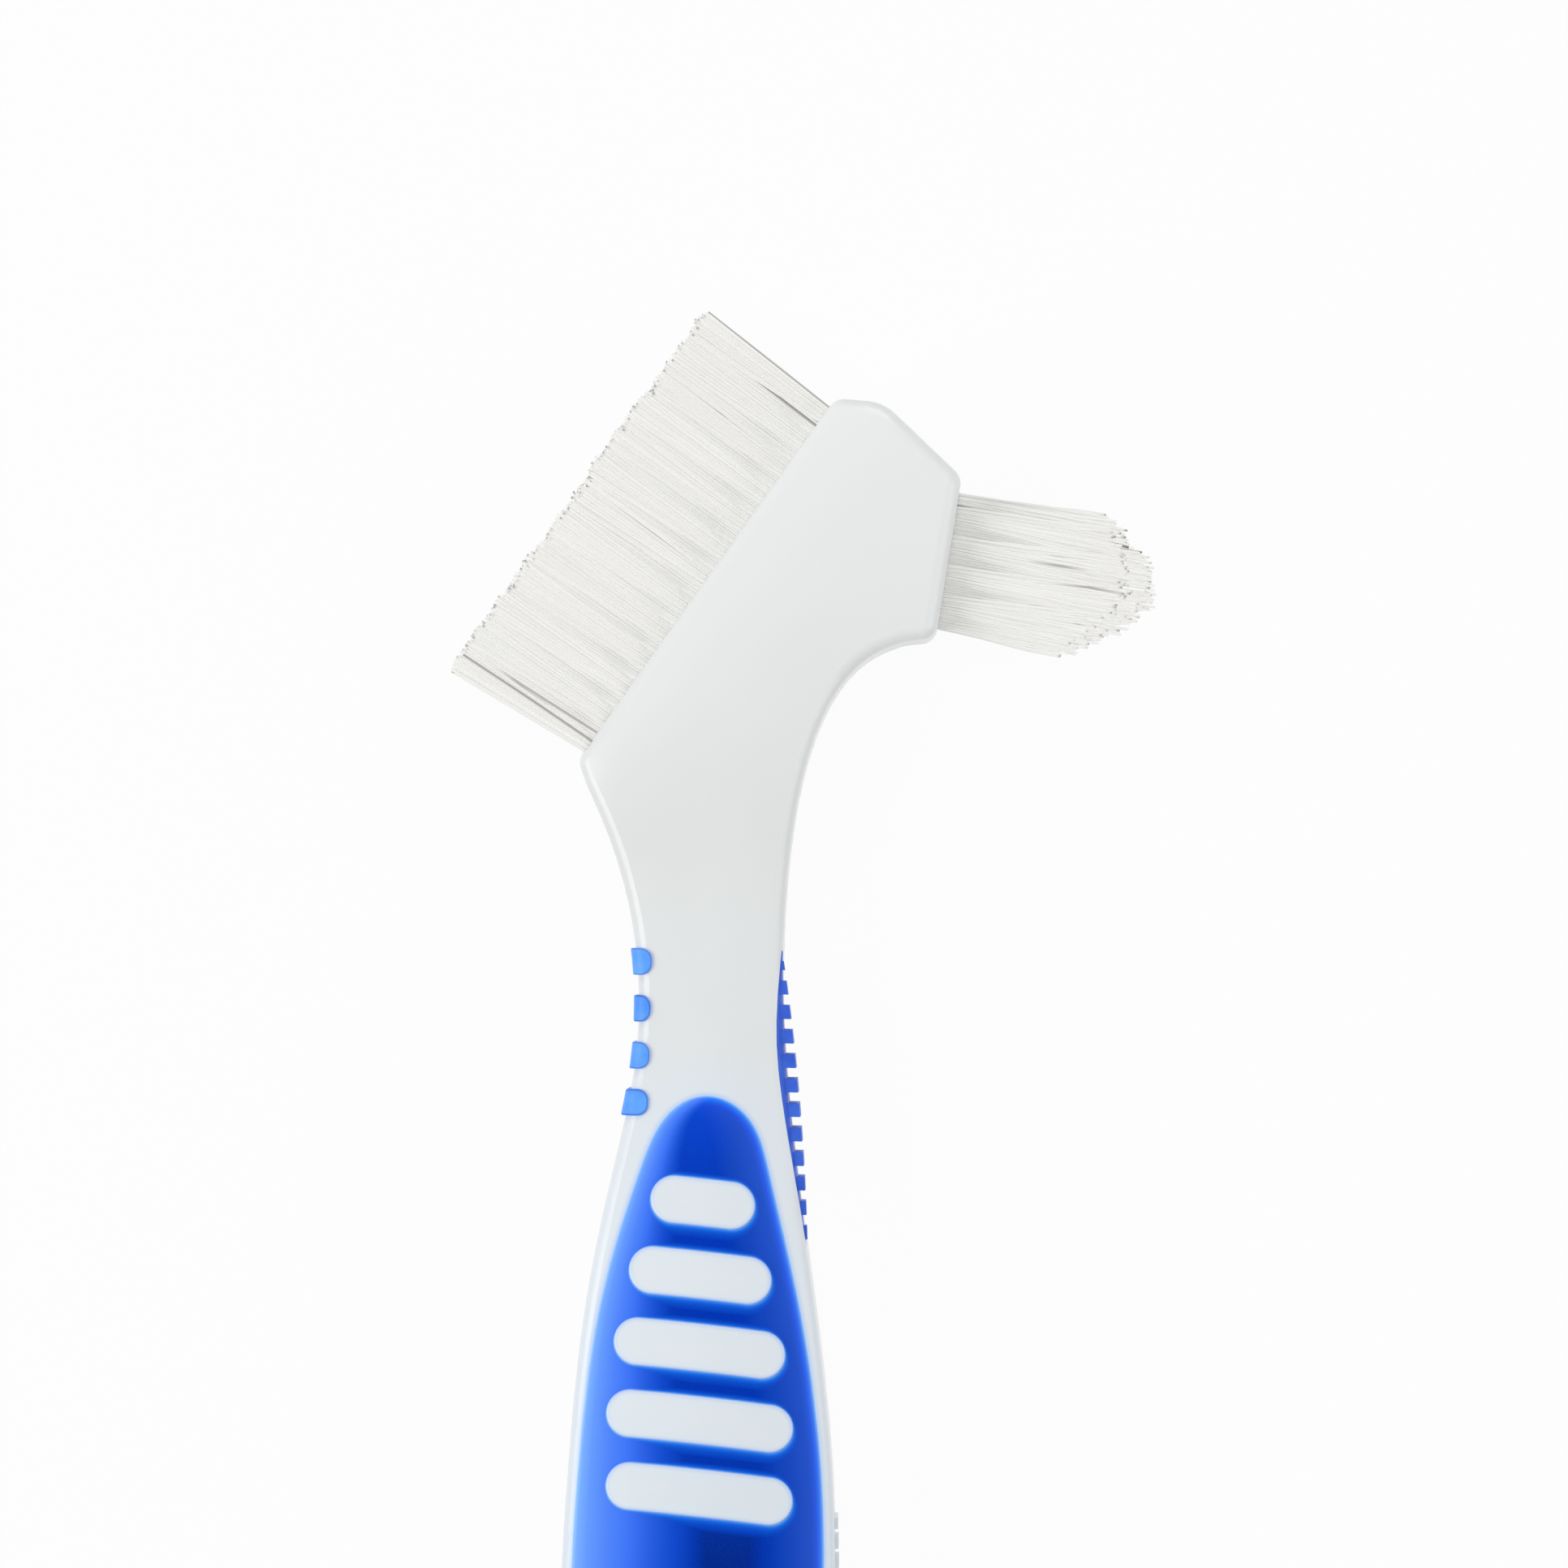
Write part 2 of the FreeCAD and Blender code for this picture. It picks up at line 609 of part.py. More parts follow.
def window_edges(length, middle):
    """A round-ended window, bent a little, with its middle and its slant."""
    radius, half_height = size("window_bend_radius"), size("window_height") / 2
    half_turn = (length / 2 - half_height) / radius

    def at(distance, turn):
        return Vector(distance * math.sin(turn), distance * math.cos(turn) - radius, 0)

    def run(distance):
        return Part.Arc(at(distance, -half_turn), at(distance, 0), at(distance, half_turn))

    def cap(turn):
        outer, inner = at(radius + half_height, turn), at(radius - half_height, turn)
        side = math.copysign(1, turn)
        along = Vector(math.cos(turn), -math.sin(turn), 0) * (side * half_height)
        return Part.Arc(outer, at(radius, turn) + along, inner)

    curves = [run(radius + half_height), cap(half_turn), run(radius - half_height), cap(-half_turn)]
    place = Placement(middle, Rotation(Vector(0, 0, 1), -size("window_slant")))
    edges = [curve.toShape() for curve in curves]
    for edge in edges:
        edge.Placement = place
    return edges


bars_top = moved("BarsTop", below_front, Vector(0, 0, size("bar_rise")))
bar_floor = moved("BarFloor", above_front, panel_depth - Vector(0, 0, size("bar_root")))
windows, bars = [], []
for number in range(whole("window_count")):
    y = size("window_top_y") - number * size("window_pitch")
    left_edge = point_at_y(left_panel[1 if y > size("grip_y") else 2], y).x
    right_edge = point_at_y(right_panel[1 if y > size("grip_y") else 2], y).x
    room = right_edge - left_edge - 2 * size("window_side_gap")
    middle = Vector((left_edge + right_edge) / 2, y, 0)
    edges = window_edges(min(room, size("window_longest")), middle)
    window = feature(f"Window{number + 1}", prism(edges, 0, REACH))
    sharp_bar = common(f"SharpBar{number + 1}", [window, bars_top, bar_floor])
    doc.recompute()
    bar = doc.addObject("Part::Fillet", f"Bar{number + 1}")
    bar.Base = sharp_bar
    radius = size("bar_edge_radius")
    rims = boundary_edges(sharp_bar.Shape, faces_up(sharp_bar.Shape, 1))
    bar.Edges = [(rim, radius, radius) for rim in rims]
    windows.append(window)
    bars.append(bar)
all_windows = compound("Windows", windows)
panel = cut("FrontGripPanel", whole_panel, all_windows)
panel.Label = "front_grip_panel"
doc.recompute()

# Finger pads: they wrap the left edge, and stand a little out of the neck's side and front

pad_skin = moved(
    "PadSkin", blank, Vector(-size("finger_pad_rise"), 0, size("finger_pad_front_rise"))
)
finger_pads = []
for number in range(whole("finger_pad_count")):
    y = size("finger_pad_top_y") - number * size("finger_pad_pitch")
    half = size("finger_pad_height") / 2
    inner = size("finger_pad_inner_x")
    outer_high, outer_low = Vector(-REACH, y + half, 0), Vector(-REACH, y - half, 0)
    pad_edges = rounded_path(
        [outer_high, Vector(inner, y + half, 0), Vector(inner, y - half, 0), outer_low],
        [size("finger_pad_corner"), size("finger_pad_corner")],
    )
    pad_edges.append(Part.LineSegment(outer_low, outer_high).toShape())
    pad_prism = feature(f"PadPrism{number + 1}", prism(pad_edges, size("finger_pad_low_z"), REACH))
    pad = common(f"FingerPad{number + 1}", [pad_prism, pad_skin])
    pad.Label = f"finger_pad_{number + 1}"
    finger_pads.append(pad)
doc.recompute()

# Thumb pad: a base let into the right flank, whose upper edge bows over the front edge. The ribs across it
# start halfway down in the base and end on one long arc.


def thumb_outline(name, margin):
    """The pad seen from the right, less a margin, made into a solid that reaches through the flank."""
    middle, half_length = size("thumb_pad_y"), size("thumb_pad_length") / 2 - margin
    upper_tip = Vector(0, middle + half_length, size("thumb_tip_z"))
    lower_tip = Vector(0, middle - half_length, size("thumb_foot_z"))
    upper_edge = Part.Arc(upper_tip, Vector(0, middle, size("thumb_crest_z") - margin), lower_tip)
    lower_edge = Part.Arc(lower_tip, Vector(0, middle, size("thumb_low_z") + margin), upper_tip)
    face = Part.Face(Part.Wire([upper_edge.toShape(), lower_edge.toShape()]))
    return feature(name, face.extrude(Vector(REACH, 0, 0)))


def rib_line_point(y, rise):
    """A point that stands this far out of the right flank."""
    return point_at_y(upper_right, y) + Vector(rise, 0, 0)


thumb_top_y = size("thumb_pad_y") + size("thumb_pad_length") / 2
thumb_bottom_y = size("thumb_pad_y") - size("thumb_pad_length") / 2
rib_line_top = rib_line_point(thumb_top_y, size("thumb_rib_tip_rise"))
rib_line_bottom = rib_line_point(thumb_bottom_y, size("thumb_rib_tip_rise"))
rib_line_middle = rib_line_point(size("thumb_pad_y"), size("thumb_rib_rise"))
rib_reach_edges = [
    Part.Arc(rib_line_top, rib_line_middle, rib_line_bottom).toShape(),
    Part.LineSegment(rib_line_bottom, Vector(0, thumb_bottom_y, 0)).toShape(),
    Part.LineSegment(Vector(0, thumb_bottom_y, 0), Vector(0, thumb_top_y, 0)).toShape(),
    Part.LineSegment(Vector(0, thumb_top_y, 0), rib_line_top).toShape(),
]
rib_reach = feature("RibReach", prism(rib_reach_edges, 0, REACH))

thumb_depth = moved("ThumbDepth", outline_prism, Vector(-size("thumb_pad_depth"), 0, 0))
thumb_base = cut("ThumbBase", common("ThumbLens", [thumb_outline("Lens", 0), blank]), thumb_depth)
rib_depth = moved("RibDepth", outline_prism, Vector(-size("thumb_pad_depth") / 2, 0, 0))
rib_lens = common("RibLens", [thumb_outline("SmallLens", size("thumb_rib_margin")), rib_reach])
rib_zone = cut("RibZone", rib_lens, rib_depth)
rib_slabs = []
first_rib_y = size("thumb_pad_y") + (whole("thumb_rib_count") - 1) * size("thumb_rib_pitch") / 2
for number in range(whole("thumb_rib_count")):
    rib_slab = doc.addObject("Part::Box", f"RibSlab{number + 1}")
    rib_slab.Length = REACH
    rib_slab.setExpression("Width", "Sizes.thumb_rib_thickness")
    rib_slab.Height = REACH
    rib_y = first_rib_y - number * size("thumb_rib_pitch")
    rib_slab.Placement.Base = Vector(0, rib_y - size("thumb_rib_thickness") / 2, 0)
    rib_slabs.append(rib_slab)
thumb_ribs = common("ThumbRibs", [rib_zone, compound("RibSlabs", rib_slabs)])
thumb_pad = joined("ThumbPad", [thumb_base, thumb_ribs])
thumb_pad.Label = "thumb_pad"
doc.recompute()

# White ribs, moulded on the right flank below the thumb pad

flank_ribs = []
for number in range(whole("flank_rib_count")):
    share = number / max(1, whole("flank_rib_count") - 1)
    rise = size("flank_rib_first_rise")
    rise += (size("flank_rib_last_rise") - size("flank_rib_first_rise")) * share
    y = size("flank_rib_top_y") - number * size("flank_rib_pitch")
    rib_box = doc.addObject("Part::Box", f"FlankRibBox{number + 1}")
    rib_box.Length = REACH
    rib_box.setExpression("Width", "Sizes.flank_rib_thickness")
    rib_box.setExpression("Height", "Sizes.flank_rib_high_z - Sizes.flank_rib_low_z")
    rib_box.Placement.Base = Vector(0, y - size("flank_rib_thickness") / 2, size("flank_rib_low_z"))
    rib_skin = moved(f"FlankSkin{number + 1}", outline_prism, Vector(rise, 0, 0))
    flank_ribs.append(common(f"FlankRib{number + 1}", [rib_box, rib_skin]))

# Tufts: each is round in its hole and spreads towards its cut tips, and is folded over a thin plate
# that bites into the sides of the hole's bottom


def tuft_shape(free_length, tip_diameter):
    """A tuft that stands on the origin along +Z, with its folded end below."""
    hole, tip = size("hole_diameter") / 2, tip_diameter / 2
    profile = Part.makePolygon([
        Vector(0, 0, -size("hole_depth")),
        Vector(hole, 0, -size("hole_depth")),
        Vector(hole, 0, size("tuft_collar")),
        Vector(tip, 0, free_length),
        Vector(0, 0, free_length),
        Vector(0, 0, -size("hole_depth")),
    ])
    return Part.Face(profile).revolve(Vector(0, 0, 0), Vector(0, 0, 1), 360)


def hole_shape():
    """The round hole for a tuft, as far as the end of the tuft's collar."""
    bottom = Vector(0, 0, -size("hole_depth"))
    return Part.makeCylinder(size("hole_diameter") / 2, size("hole_depth") + size("tuft_collar"), bottom)


def anchor_shape():
    """The plate in the bottom of a tuft's hole."""
    width, thickness = size("anchor_width"), size("anchor_thickness")
    corner = Vector(-width / 2, -thickness / 2, -size("hole_depth"))
    return Part.makeBox(width, thickness, size("anchor_depth"), corner)


def tuft_place(root, face_out, lean, row_lean):
    """Where a tuft stands: its root, the way out of its face, and how far it leans up and forward."""
    up_lean = Rotation(Vector(0, 0, 1), lean)
    out = up_lean.multVec(face_out)
    along = Vector(0, 0, 1).cross(out)
    forward_lean = Rotation(along, -row_lean)
    out = forward_lean.multVec(out)
    return Placement(root, Rotation(along, out.cross(along), out, "ZXY"))


def row_place(row):
    """A row's height, and its lean: outer rows lean outwards."""
    share = 2 * row / max(1, whole("row_count") - 1) - 1
    return size("first_row_z") + row * size("row_pitch"), share * size("row_fan")


def brush_row(name, row, stations, tip_diameter, face_middle, face_along, face_out):
    """A row's tufts, its plates and the holes for both, from stations: place, lean and free length."""
    height, row_lean = row_place(row)
    tufts, anchors, holes = [], [], []
    for place, lean, free_length in stations:
        root = face_middle + face_along * place + Vector(0, 0, height)
        placement = tuft_place(root, face_out, lean, row_lean)
        whole_tuft, anchor = tuft_shape(free_length, tip_diameter), anchor_shape()
        for made, shape in (
            (tufts, whole_tuft.cut(anchor)), (anchors, anchor), (holes, hole_shape().fuse(anchor))
        ):
            shape.Placement = placement
            made.append(shape)
    row_object = feature(f"{name}BrushRow{row + 1}", Part.makeCompound(tufts))
    row_object.Label = f"{name.lower()}_brush_row_{row + 1}"
    anchor_object = feature(f"{name}AnchorsRow{row + 1}", Part.makeCompound(anchors))
    anchor_object.Label = f"{name.lower()}_anchors_row_{row + 1}"
    return row_object, anchor_object, holes


def places_in_row(span, full_count, shorter):
    """Places along a row, about its middle. A shorter row's tufts stand between a full row's."""
    pitch = span / max(1, full_count - 1)
    count = full_count - 1 if shorter else full_count
    return [(index - (count - 1) / 2) * pitch for index in range(count)]


flat_span = size("flat_field_length") - size("hole_diameter")
end_span = size("end_field_length") - size("hole_diameter")
middle_row = (whole("row_count") - 1) / 2
farthest = math.hypot(end_span / 2, size("row_pitch") / 2)


def flat_stations(row):
    """The flat brush's tufts in a row: they fan out along the face, and their tips make one line."""
    stations = []
    for place in places_in_row(flat_span, whole("flat_column_count"), row % 2 == 0):
        share = place / flat_span + 0.5
        lean = size("flat_fan_bottom") + (size("flat_fan_top") - size("flat_fan_bottom")) * share
        free_length = size("flat_bristle_length") / math.cos(math.radians(lean))
        stations.append((place, -lean, free_length))
    return stations


def end_stations(row):
    """The end brush's tufts in a row: the outer rows are shorter, and the tips make a dome."""
    stations = []
    outer_row = row in (0, whole("row_count") - 1)
    for place in places_in_row(end_span, whole("end_column_count"), outer_row):
        above_dome = place - size("end_dome_shift")
        off_centre = math.hypot(above_dome, (row - middle_row) * size("row_pitch")) / farthest
        free_length = size("end_bristle_length") - size("end_dome_drop") * off_centre**2
        lean = size("end_lean") + size("end_fan") * 2 * place / end_span
        stations.append((place, lean, free_length))
    return stations


pieces = [panel, thumb_pad] + finger_pads
holes = []
for row in range(whole("row_count")):
    for made in (
        brush_row("Flat", row, flat_stations(row), size("flat_tip_diameter"), flat_middle, flat_along,
                  flat_out),
        brush_row("End", row, end_stations(row), size("end_tip_diameter"), end_middle, end_along, end_out),
    ):
        pieces += made[:2]
        holes += made[2]
tuft_holes = feature("TuftHoles", Part.makeCompound(holes))

# The white moulding: the blank with its pockets and holes, and with its bars and flank ribs

let_in = compound("LetIn", [whole_panel, thumb_pad, tuft_holes] + finger_pads)
pocketed = cut("Pocketed", blank, let_in)
body = joined("Body", [pocketed] + bars + flank_ribs)
body.Label = "body"
pieces.insert(0, body)
doc.recompute()

# Every object has to be sound before anything is written

for item in doc.Objects:
    if "Invalid" in item.State or "Error" in item.State:
        raise RuntimeError(f"{item.Name} failed: {item.State}")
for piece in pieces:
    if piece.Shape.isNull() or not piece.Shape.isValid():
        raise RuntimeError(f"{piece.Label} has no sound shape")

os.makedirs("parts", exist_ok=True)
for piece in pieces:
    piece.Shape.exportStep(f"parts/{piece.Label}.step")
    print(f"{piece.Label}: {len(piece.Shape.Solids)} solids, {piece.Shape.Volume:.1f} mm3")
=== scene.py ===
# %% [markdown]
# # A denture brush with two brushes on one head
# The brush is a white plastic moulding with a long flat brush on the left of its head and a small domed
# brush on the right. Soft blue inlays cover the grip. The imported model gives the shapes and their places, so
# this lesson adds only what a solid model leaves out: the nylon filaments, softened edges and finishes.

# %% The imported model
import json
import math
import random

import bpy
import numpy as np
from mathutils import Matrix, Vector

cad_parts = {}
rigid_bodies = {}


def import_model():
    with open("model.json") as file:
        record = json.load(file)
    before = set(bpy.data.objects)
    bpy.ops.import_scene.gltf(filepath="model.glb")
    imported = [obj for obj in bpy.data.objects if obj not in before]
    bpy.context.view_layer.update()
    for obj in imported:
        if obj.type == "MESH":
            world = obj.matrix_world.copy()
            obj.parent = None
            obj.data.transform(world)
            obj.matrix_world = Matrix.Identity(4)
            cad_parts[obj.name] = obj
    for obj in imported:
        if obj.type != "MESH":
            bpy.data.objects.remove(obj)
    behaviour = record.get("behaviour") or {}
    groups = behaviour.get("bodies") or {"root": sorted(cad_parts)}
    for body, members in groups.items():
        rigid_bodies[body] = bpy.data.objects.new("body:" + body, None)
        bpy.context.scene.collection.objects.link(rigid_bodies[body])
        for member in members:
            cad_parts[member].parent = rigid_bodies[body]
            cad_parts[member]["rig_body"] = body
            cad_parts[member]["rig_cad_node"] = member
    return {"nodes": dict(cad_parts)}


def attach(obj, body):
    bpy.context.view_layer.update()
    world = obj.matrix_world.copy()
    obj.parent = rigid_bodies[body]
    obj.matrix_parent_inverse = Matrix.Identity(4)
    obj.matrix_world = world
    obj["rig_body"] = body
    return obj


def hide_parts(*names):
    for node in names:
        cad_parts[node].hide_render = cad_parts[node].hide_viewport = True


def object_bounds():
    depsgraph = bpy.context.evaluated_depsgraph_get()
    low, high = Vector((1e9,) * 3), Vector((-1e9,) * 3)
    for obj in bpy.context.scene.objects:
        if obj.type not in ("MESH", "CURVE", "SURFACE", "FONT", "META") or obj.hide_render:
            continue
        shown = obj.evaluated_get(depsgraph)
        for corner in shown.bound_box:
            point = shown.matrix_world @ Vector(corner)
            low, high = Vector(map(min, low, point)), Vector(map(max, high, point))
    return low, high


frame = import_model()
nodes = frame["nodes"]
cad_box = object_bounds()
scene = bpy.context.scene
MM = 0.001
SEED = 11
random.seed(SEED)
bpy.ops.object.select_all(action="DESELECT")
print(len(nodes), "nodes, from", tuple(cad_box[0]), "to", tuple(cad_box[1]))

# %% [markdown]
# ## Camera
# The brush lies on its back, and the photograph looks almost straight down on it, so little more than its
# front shows. A long lens keeps the sides nearly parallel. The camera could be placed by hand, but a point
# and three small angles say exactly where it stands. The point is the one that lies in the middle of the
# photograph, and the last angle rolls the camera, as the handle leans a little there.

# %% Camera at the photograph's angle
VIEW_CENTRE = Vector((6.1, -7.4, 13.5)) * MM
VIEW_WIDTH = 138.0 * MM
VIEW_DISTANCE = 700.0 * MM
VIEW_TILT = math.radians(1.0)
VIEW_SIDE = math.radians(0.8)
VIEW_ROLL = math.radians(1.24)

to_camera = Vector((math.sin(VIEW_SIDE), -math.sin(VIEW_TILT), math.cos(VIEW_TILT))).normalized()
rough_up = Vector((-math.sin(VIEW_ROLL), math.cos(VIEW_ROLL), 0))
camera_right = rough_up.cross(to_camera).normalized()
camera_up = to_camera.cross(camera_right)
camera_data = bpy.data.cameras.new("camera")
camera_data.lens = camera_data.sensor_width * VIEW_DISTANCE / VIEW_WIDTH
camera = bpy.data.objects.new("camera", camera_data)
camera.matrix_world = Matrix((camera_right, camera_up, to_camera)).transposed().to_4x4()
camera.location = VIEW_CENTRE + to_camera * VIEW_DISTANCE
scene.collection.objects.link(camera)
scene.camera = camera
print("lens", round(camera_data.lens, 1), "mm")

# %% [markdown]
# ## Light
# The photograph was lit by broad white panels, brightest from the left and from above the head, so edges
# shine and shadows are faint. Square area lamps do the same, where a sun would draw hard shadows. Together
# with the world they light a face that looks up at about strength 1, so that each colour renders as it is
# written.

# %% Soft lamps
LAMP_AIM = Vector((0, -20, 0)) * MM
scene.view_settings.view_transform = "Standard"


def soft_lamp(name, place, width, power):
    """A square area lamp that looks at the brush."""
    data = bpy.data.lights.new(name, "AREA")
    data.size = width
    data.energy = power
    lamp = bpy.data.objects.new(name, data)
    lamp.location = place
    lamp.rotation_euler = (LAMP_AIM - lamp.location).to_track_quat("-Z", "Y").to_euler()
    scene.collection.objects.link(lamp)
    print(name, "at", tuple(round(value, 2) for value in place), "with", power, "W")


soft_lamp("key_lamp", Vector((-0.8, -0.15, 0.63)), 0.7, 5.5)
soft_lamp("top_lamp", Vector((0.1, 0.8, 0.65)), 0.6, 2.5)
soft_lamp("fill_lamp", Vector((0.8, -0.25, 0.5)), 0.8, 2.8)

# %% [markdown]
# ## Helpers for nodes
# The world, the floor and every finish are small trees of nodes. They could be built by hand in the node
# editor, but a few helpers say the same in one line each: the linear colour that a shader wants for a
# screen colour, a link or a plain value, a math node, two mixed shaders, and a new material.

# %% Colours, sums and shaders


def linear(red, green, blue):
    """A colour given by its screen values from 0 to 255, as a shader wants it."""
    shares = [value / 255 for value in (red, green, blue)]
    return tuple(s / 12.92 if s <= 0.04045 else ((s + 0.055) / 1.055) ** 2.4 for s in shares) + (1.0,)


def put(tree, socket, value):
    """Links a socket into another, or sets a plain value."""
    if isinstance(value, bpy.types.NodeSocket):
        tree.links.new(value, socket)
    else:
        socket.default_value = value


def calculate(tree, operation, *values, clamp=False):
    """The result of a math node."""
    node = tree.nodes.new("ShaderNodeMath")
    node.operation = operation
    node.use_clamp = clamp
    for socket, value in zip(node.inputs, values):
        put(tree, socket, value)
    return node.outputs[0]


def mix_shaders(tree, share, first, second):
    """Two shaders, mixed by a share of the second."""
    node = tree.nodes.new("ShaderNodeMixShader")
    for socket, value in zip(node.inputs, (share, first, second)):
        tree.links.new(value, socket)
    return node.outputs[0]


def finish(name, roughness):
    """A new material, with its node tree and its shader."""
    material = bpy.data.materials.new(name)
    material.use_nodes = True
    shader = material.node_tree.nodes["Principled BSDF"]
    shader.inputs["Roughness"].default_value = roughness
    return material, material.node_tree, shader


print("a screen grey of 128 is", round(linear(128, 128, 128)[0], 3), "to a shader")

# %% [markdown]
# ## White background
# The photograph's background is pure white. A world that bright would wash out the white plastic, so the
# world is white only for the rays that show it, and a soft grey light for all others. The paper under the
# brush glows in the same way. A small share of it stays plain paper, which takes the brush's faint shadow
# and throws a little light back up at its sides.

# %% White world
AMBIENT_COLOUR = (0.98, 0.985, 1.0, 1)
AMBIENT_STRENGTH = 0.45
WHITE = (1, 1, 1, 1)


def seen_directly(tree):
    """A value of 1 for rays that show the background: from the camera, in gloss and through glass."""
    path = tree.nodes.new("ShaderNodeLightPath")
    shown = calculate(tree, "ADD", path.outputs["Is Camera Ray"], path.outputs["Is Glossy Ray"], clamp=True)
    return calculate(tree, "ADD", shown, path.outputs["Is Transmission Ray"], clamp=True)


world = bpy.data.worlds.new("white_studio")
scene.world = world
world.use_nodes = True
tree = world.node_tree
ambient = tree.nodes["Background"]
ambient.inputs["Color"].default_value = AMBIENT_COLOUR
ambient.inputs["Strength"].default_value = AMBIENT_STRENGTH
white = tree.nodes.new("ShaderNodeBackground")
white.inputs["Color"].default_value = WHITE
mixed = mix_shaders(tree, seen_directly(tree), ambient.outputs[0], white.outputs[0])
tree.links.new(mixed, tree.nodes["World Output"].inputs["Surface"])
print(world.name, "lights at strength", AMBIENT_STRENGTH)

# %% Pale floor
FLOOR_WIDTH = 6.0
FLOOR_DROP = 0.02 * MM
FLOOR_GLOW = 0.94
PAPER_GREY = (0.78, 0.78, 0.78, 1)
PAPER_ROUGHNESS = 0.9
bpy.ops.mesh.primitive_plane_add(size=FLOOR_WIDTH, location=(0, 0, -FLOOR_DROP))
floor = bpy.context.object
floor.name = "floor"
bpy.ops.object.transform_apply(location=True, rotation=True, scale=True)
paper, tree, shader = finish("white_paper", PAPER_ROUGHNESS)
shader.inputs["Base Color"].default_value = PAPER_GREY
glow = tree.nodes.new("ShaderNodeEmission")
share = calculate(tree, "MULTIPLY", seen_directly(tree), FLOOR_GLOW)
mixed = mix_shaders(tree, share, shader.outputs[0], glow.outputs[0])
tree.links.new(mixed, tree.nodes["Material Output"].inputs["Surface"])
floor.data.materials.append(paper)
print("floor", FLOOR_WIDTH, "m wide")

# %% [markdown]
# ## Helpers for patterns
# Every finish is one Principled shader whose colour changes gently over its piece. An image could hold
# that change, but a few nodes stay sharp at any distance. These helpers turn a measure into a step or a row
# of colours, and a noise into soft patches or a bump. The noise reads the place on the object, so a piece
# needs no unwrapping.

# %% Steps and rows of colours


def even_step(tree, value, start, end, low=0.0, high=1.0, shape="LINEAR"):
    """An even change from low to high while a value goes from start to end."""
    node = tree.nodes.new("ShaderNodeMapRange")
    node.interpolation_type = shape
    put(tree, node.inputs["Value"], value)
    for name, number in (("From Min", start), ("From Max", end), ("To Min", low), ("To Max", high)):
        node.inputs[name].default_value = number
    return node.outputs["Result"]


def soft_step(tree, value, start, end, low=0.0, high=1.0):
    """A change that starts and ends smoothly."""
    return even_step(tree, value, start, end, low, high, "SMOOTHSTEP")


def blend_colours(tree, share, first, second, blend="MIX"):
    """Two colours, blended by a share of the second."""
    node = tree.nodes.new("ShaderNodeMix")
    node.data_type = "RGBA"
    node.blend_type = blend
    for name, value in (("Factor", share), ("A", first), ("B", second)):
        put(tree, node.inputs[name], value)
    return node.outputs["Result"]


def colour_along(tree, value, stops):
    """A colour that changes along a value, from stops of a value and a screen colour."""
    reach = stops[-1][0]
    node = tree.nodes.new("ShaderNodeValToRGB")
    first, last = node.color_ramp.elements
    first.position, first.color = stops[0][0] / reach, linear(*stops[0][1])
    last.position, last.color = 1.0, linear(*stops[-1][1])
    for place, colour in stops[1:-1]:
        node.color_ramp.elements.new(place / reach).color = linear(*colour)
    tree.links.new(calculate(tree, "DIVIDE", value, reach, clamp=True), node.inputs["Fac"])
    return node.outputs["Color"]


def lightest(tree, *colours):
    """The lightest of several colours."""
    result = colours[0]
    for colour in colours[1:]:
        result = blend_colours(tree, 1.0, result, colour, "LIGHTEN")
    return result


print("steps, blends and rows of colours are ready")

# %% Patches and bumps
PATCH_START = 0.3
PATCH_END = 0.7


def object_place(tree):
    """The place on the object, in metres."""
    return tree.nodes.new("ShaderNodeTexCoord").outputs["Object"]


def cloud(tree, patches_per_mm, detail=2.0):
    """Cloudy noise, mostly near the middle between 0 and 1."""
    node = tree.nodes.new("ShaderNodeTexNoise")
    node.inputs["Scale"].default_value = patches_per_mm / MM
    node.inputs["Detail"].default_value = detail
    tree.links.new(object_place(tree), node.inputs["Vector"])
    return node.outputs["Fac"]


def patches(tree, patches_per_mm, share=1.0):
    """Soft random patches, from 0 to a share."""
    return soft_step(tree, cloud(tree, patches_per_mm), PATCH_START, PATCH_END, 0.0, share)


def raise_by(tree, shader, height, depth_mm, strength=1.0):
    """A bump on a shader, as deep as given where the height goes from 0 to 1."""
    node = tree.nodes.new("ShaderNodeBump")
    node.inputs["Distance"].default_value = depth_mm * MM
    node.inputs["Strength"].default_value = strength
    put(tree, node.inputs["Height"], height)
    tree.links.new(node.outputs["Normal"], shader.inputs["Normal"])


def wear(piece, material):
    """Puts a material on the whole piece."""
    if not piece.data.materials:
        piece.data.materials.append(material)
    for index in range(len(piece.data.materials)):
        piece.data.materials[index] = material
    print(piece.name, "wears", material.name)


print("patches take the noise from", PATCH_START, "to", PATCH_END)

# %% [markdown]
# ## The panel's outline
# The panel's blue fades to a bright rim, and a little of it glows in the white beside it, so both finishes
# need the distance to the panel's edge. It could be painted on the points, but they stand too far apart for
# a sharp rim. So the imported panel's width is measured at some places along the handle, closer together at
# its round ends. The square of its half width is kept, because that changes gently even there.

# %% Measuring the panel's outline
TOP_DROPS = (0.4, 1.0, 2.0, 3.5, 5.5, 8.0, 11.0, 15.0, 20.0, 26.0, 34.0, 44.0)
BOTTOM_RISES = (40.0, 28.0, 20.0, 14.0, 10.0, 7.0, 4.5, 2.5, 1.0, 0.4)

panel_mesh = nodes["front_grip_panel"].data
panel_points = np.array([vertex.co for vertex in panel_mesh.vertices]) / MM
panel_edges = np.array([edge.vertices[:] for edge in panel_mesh.edges])
panel_bottom_y, panel_top_y = panel_points[:, 1].min(), panel_points[:, 1].max()


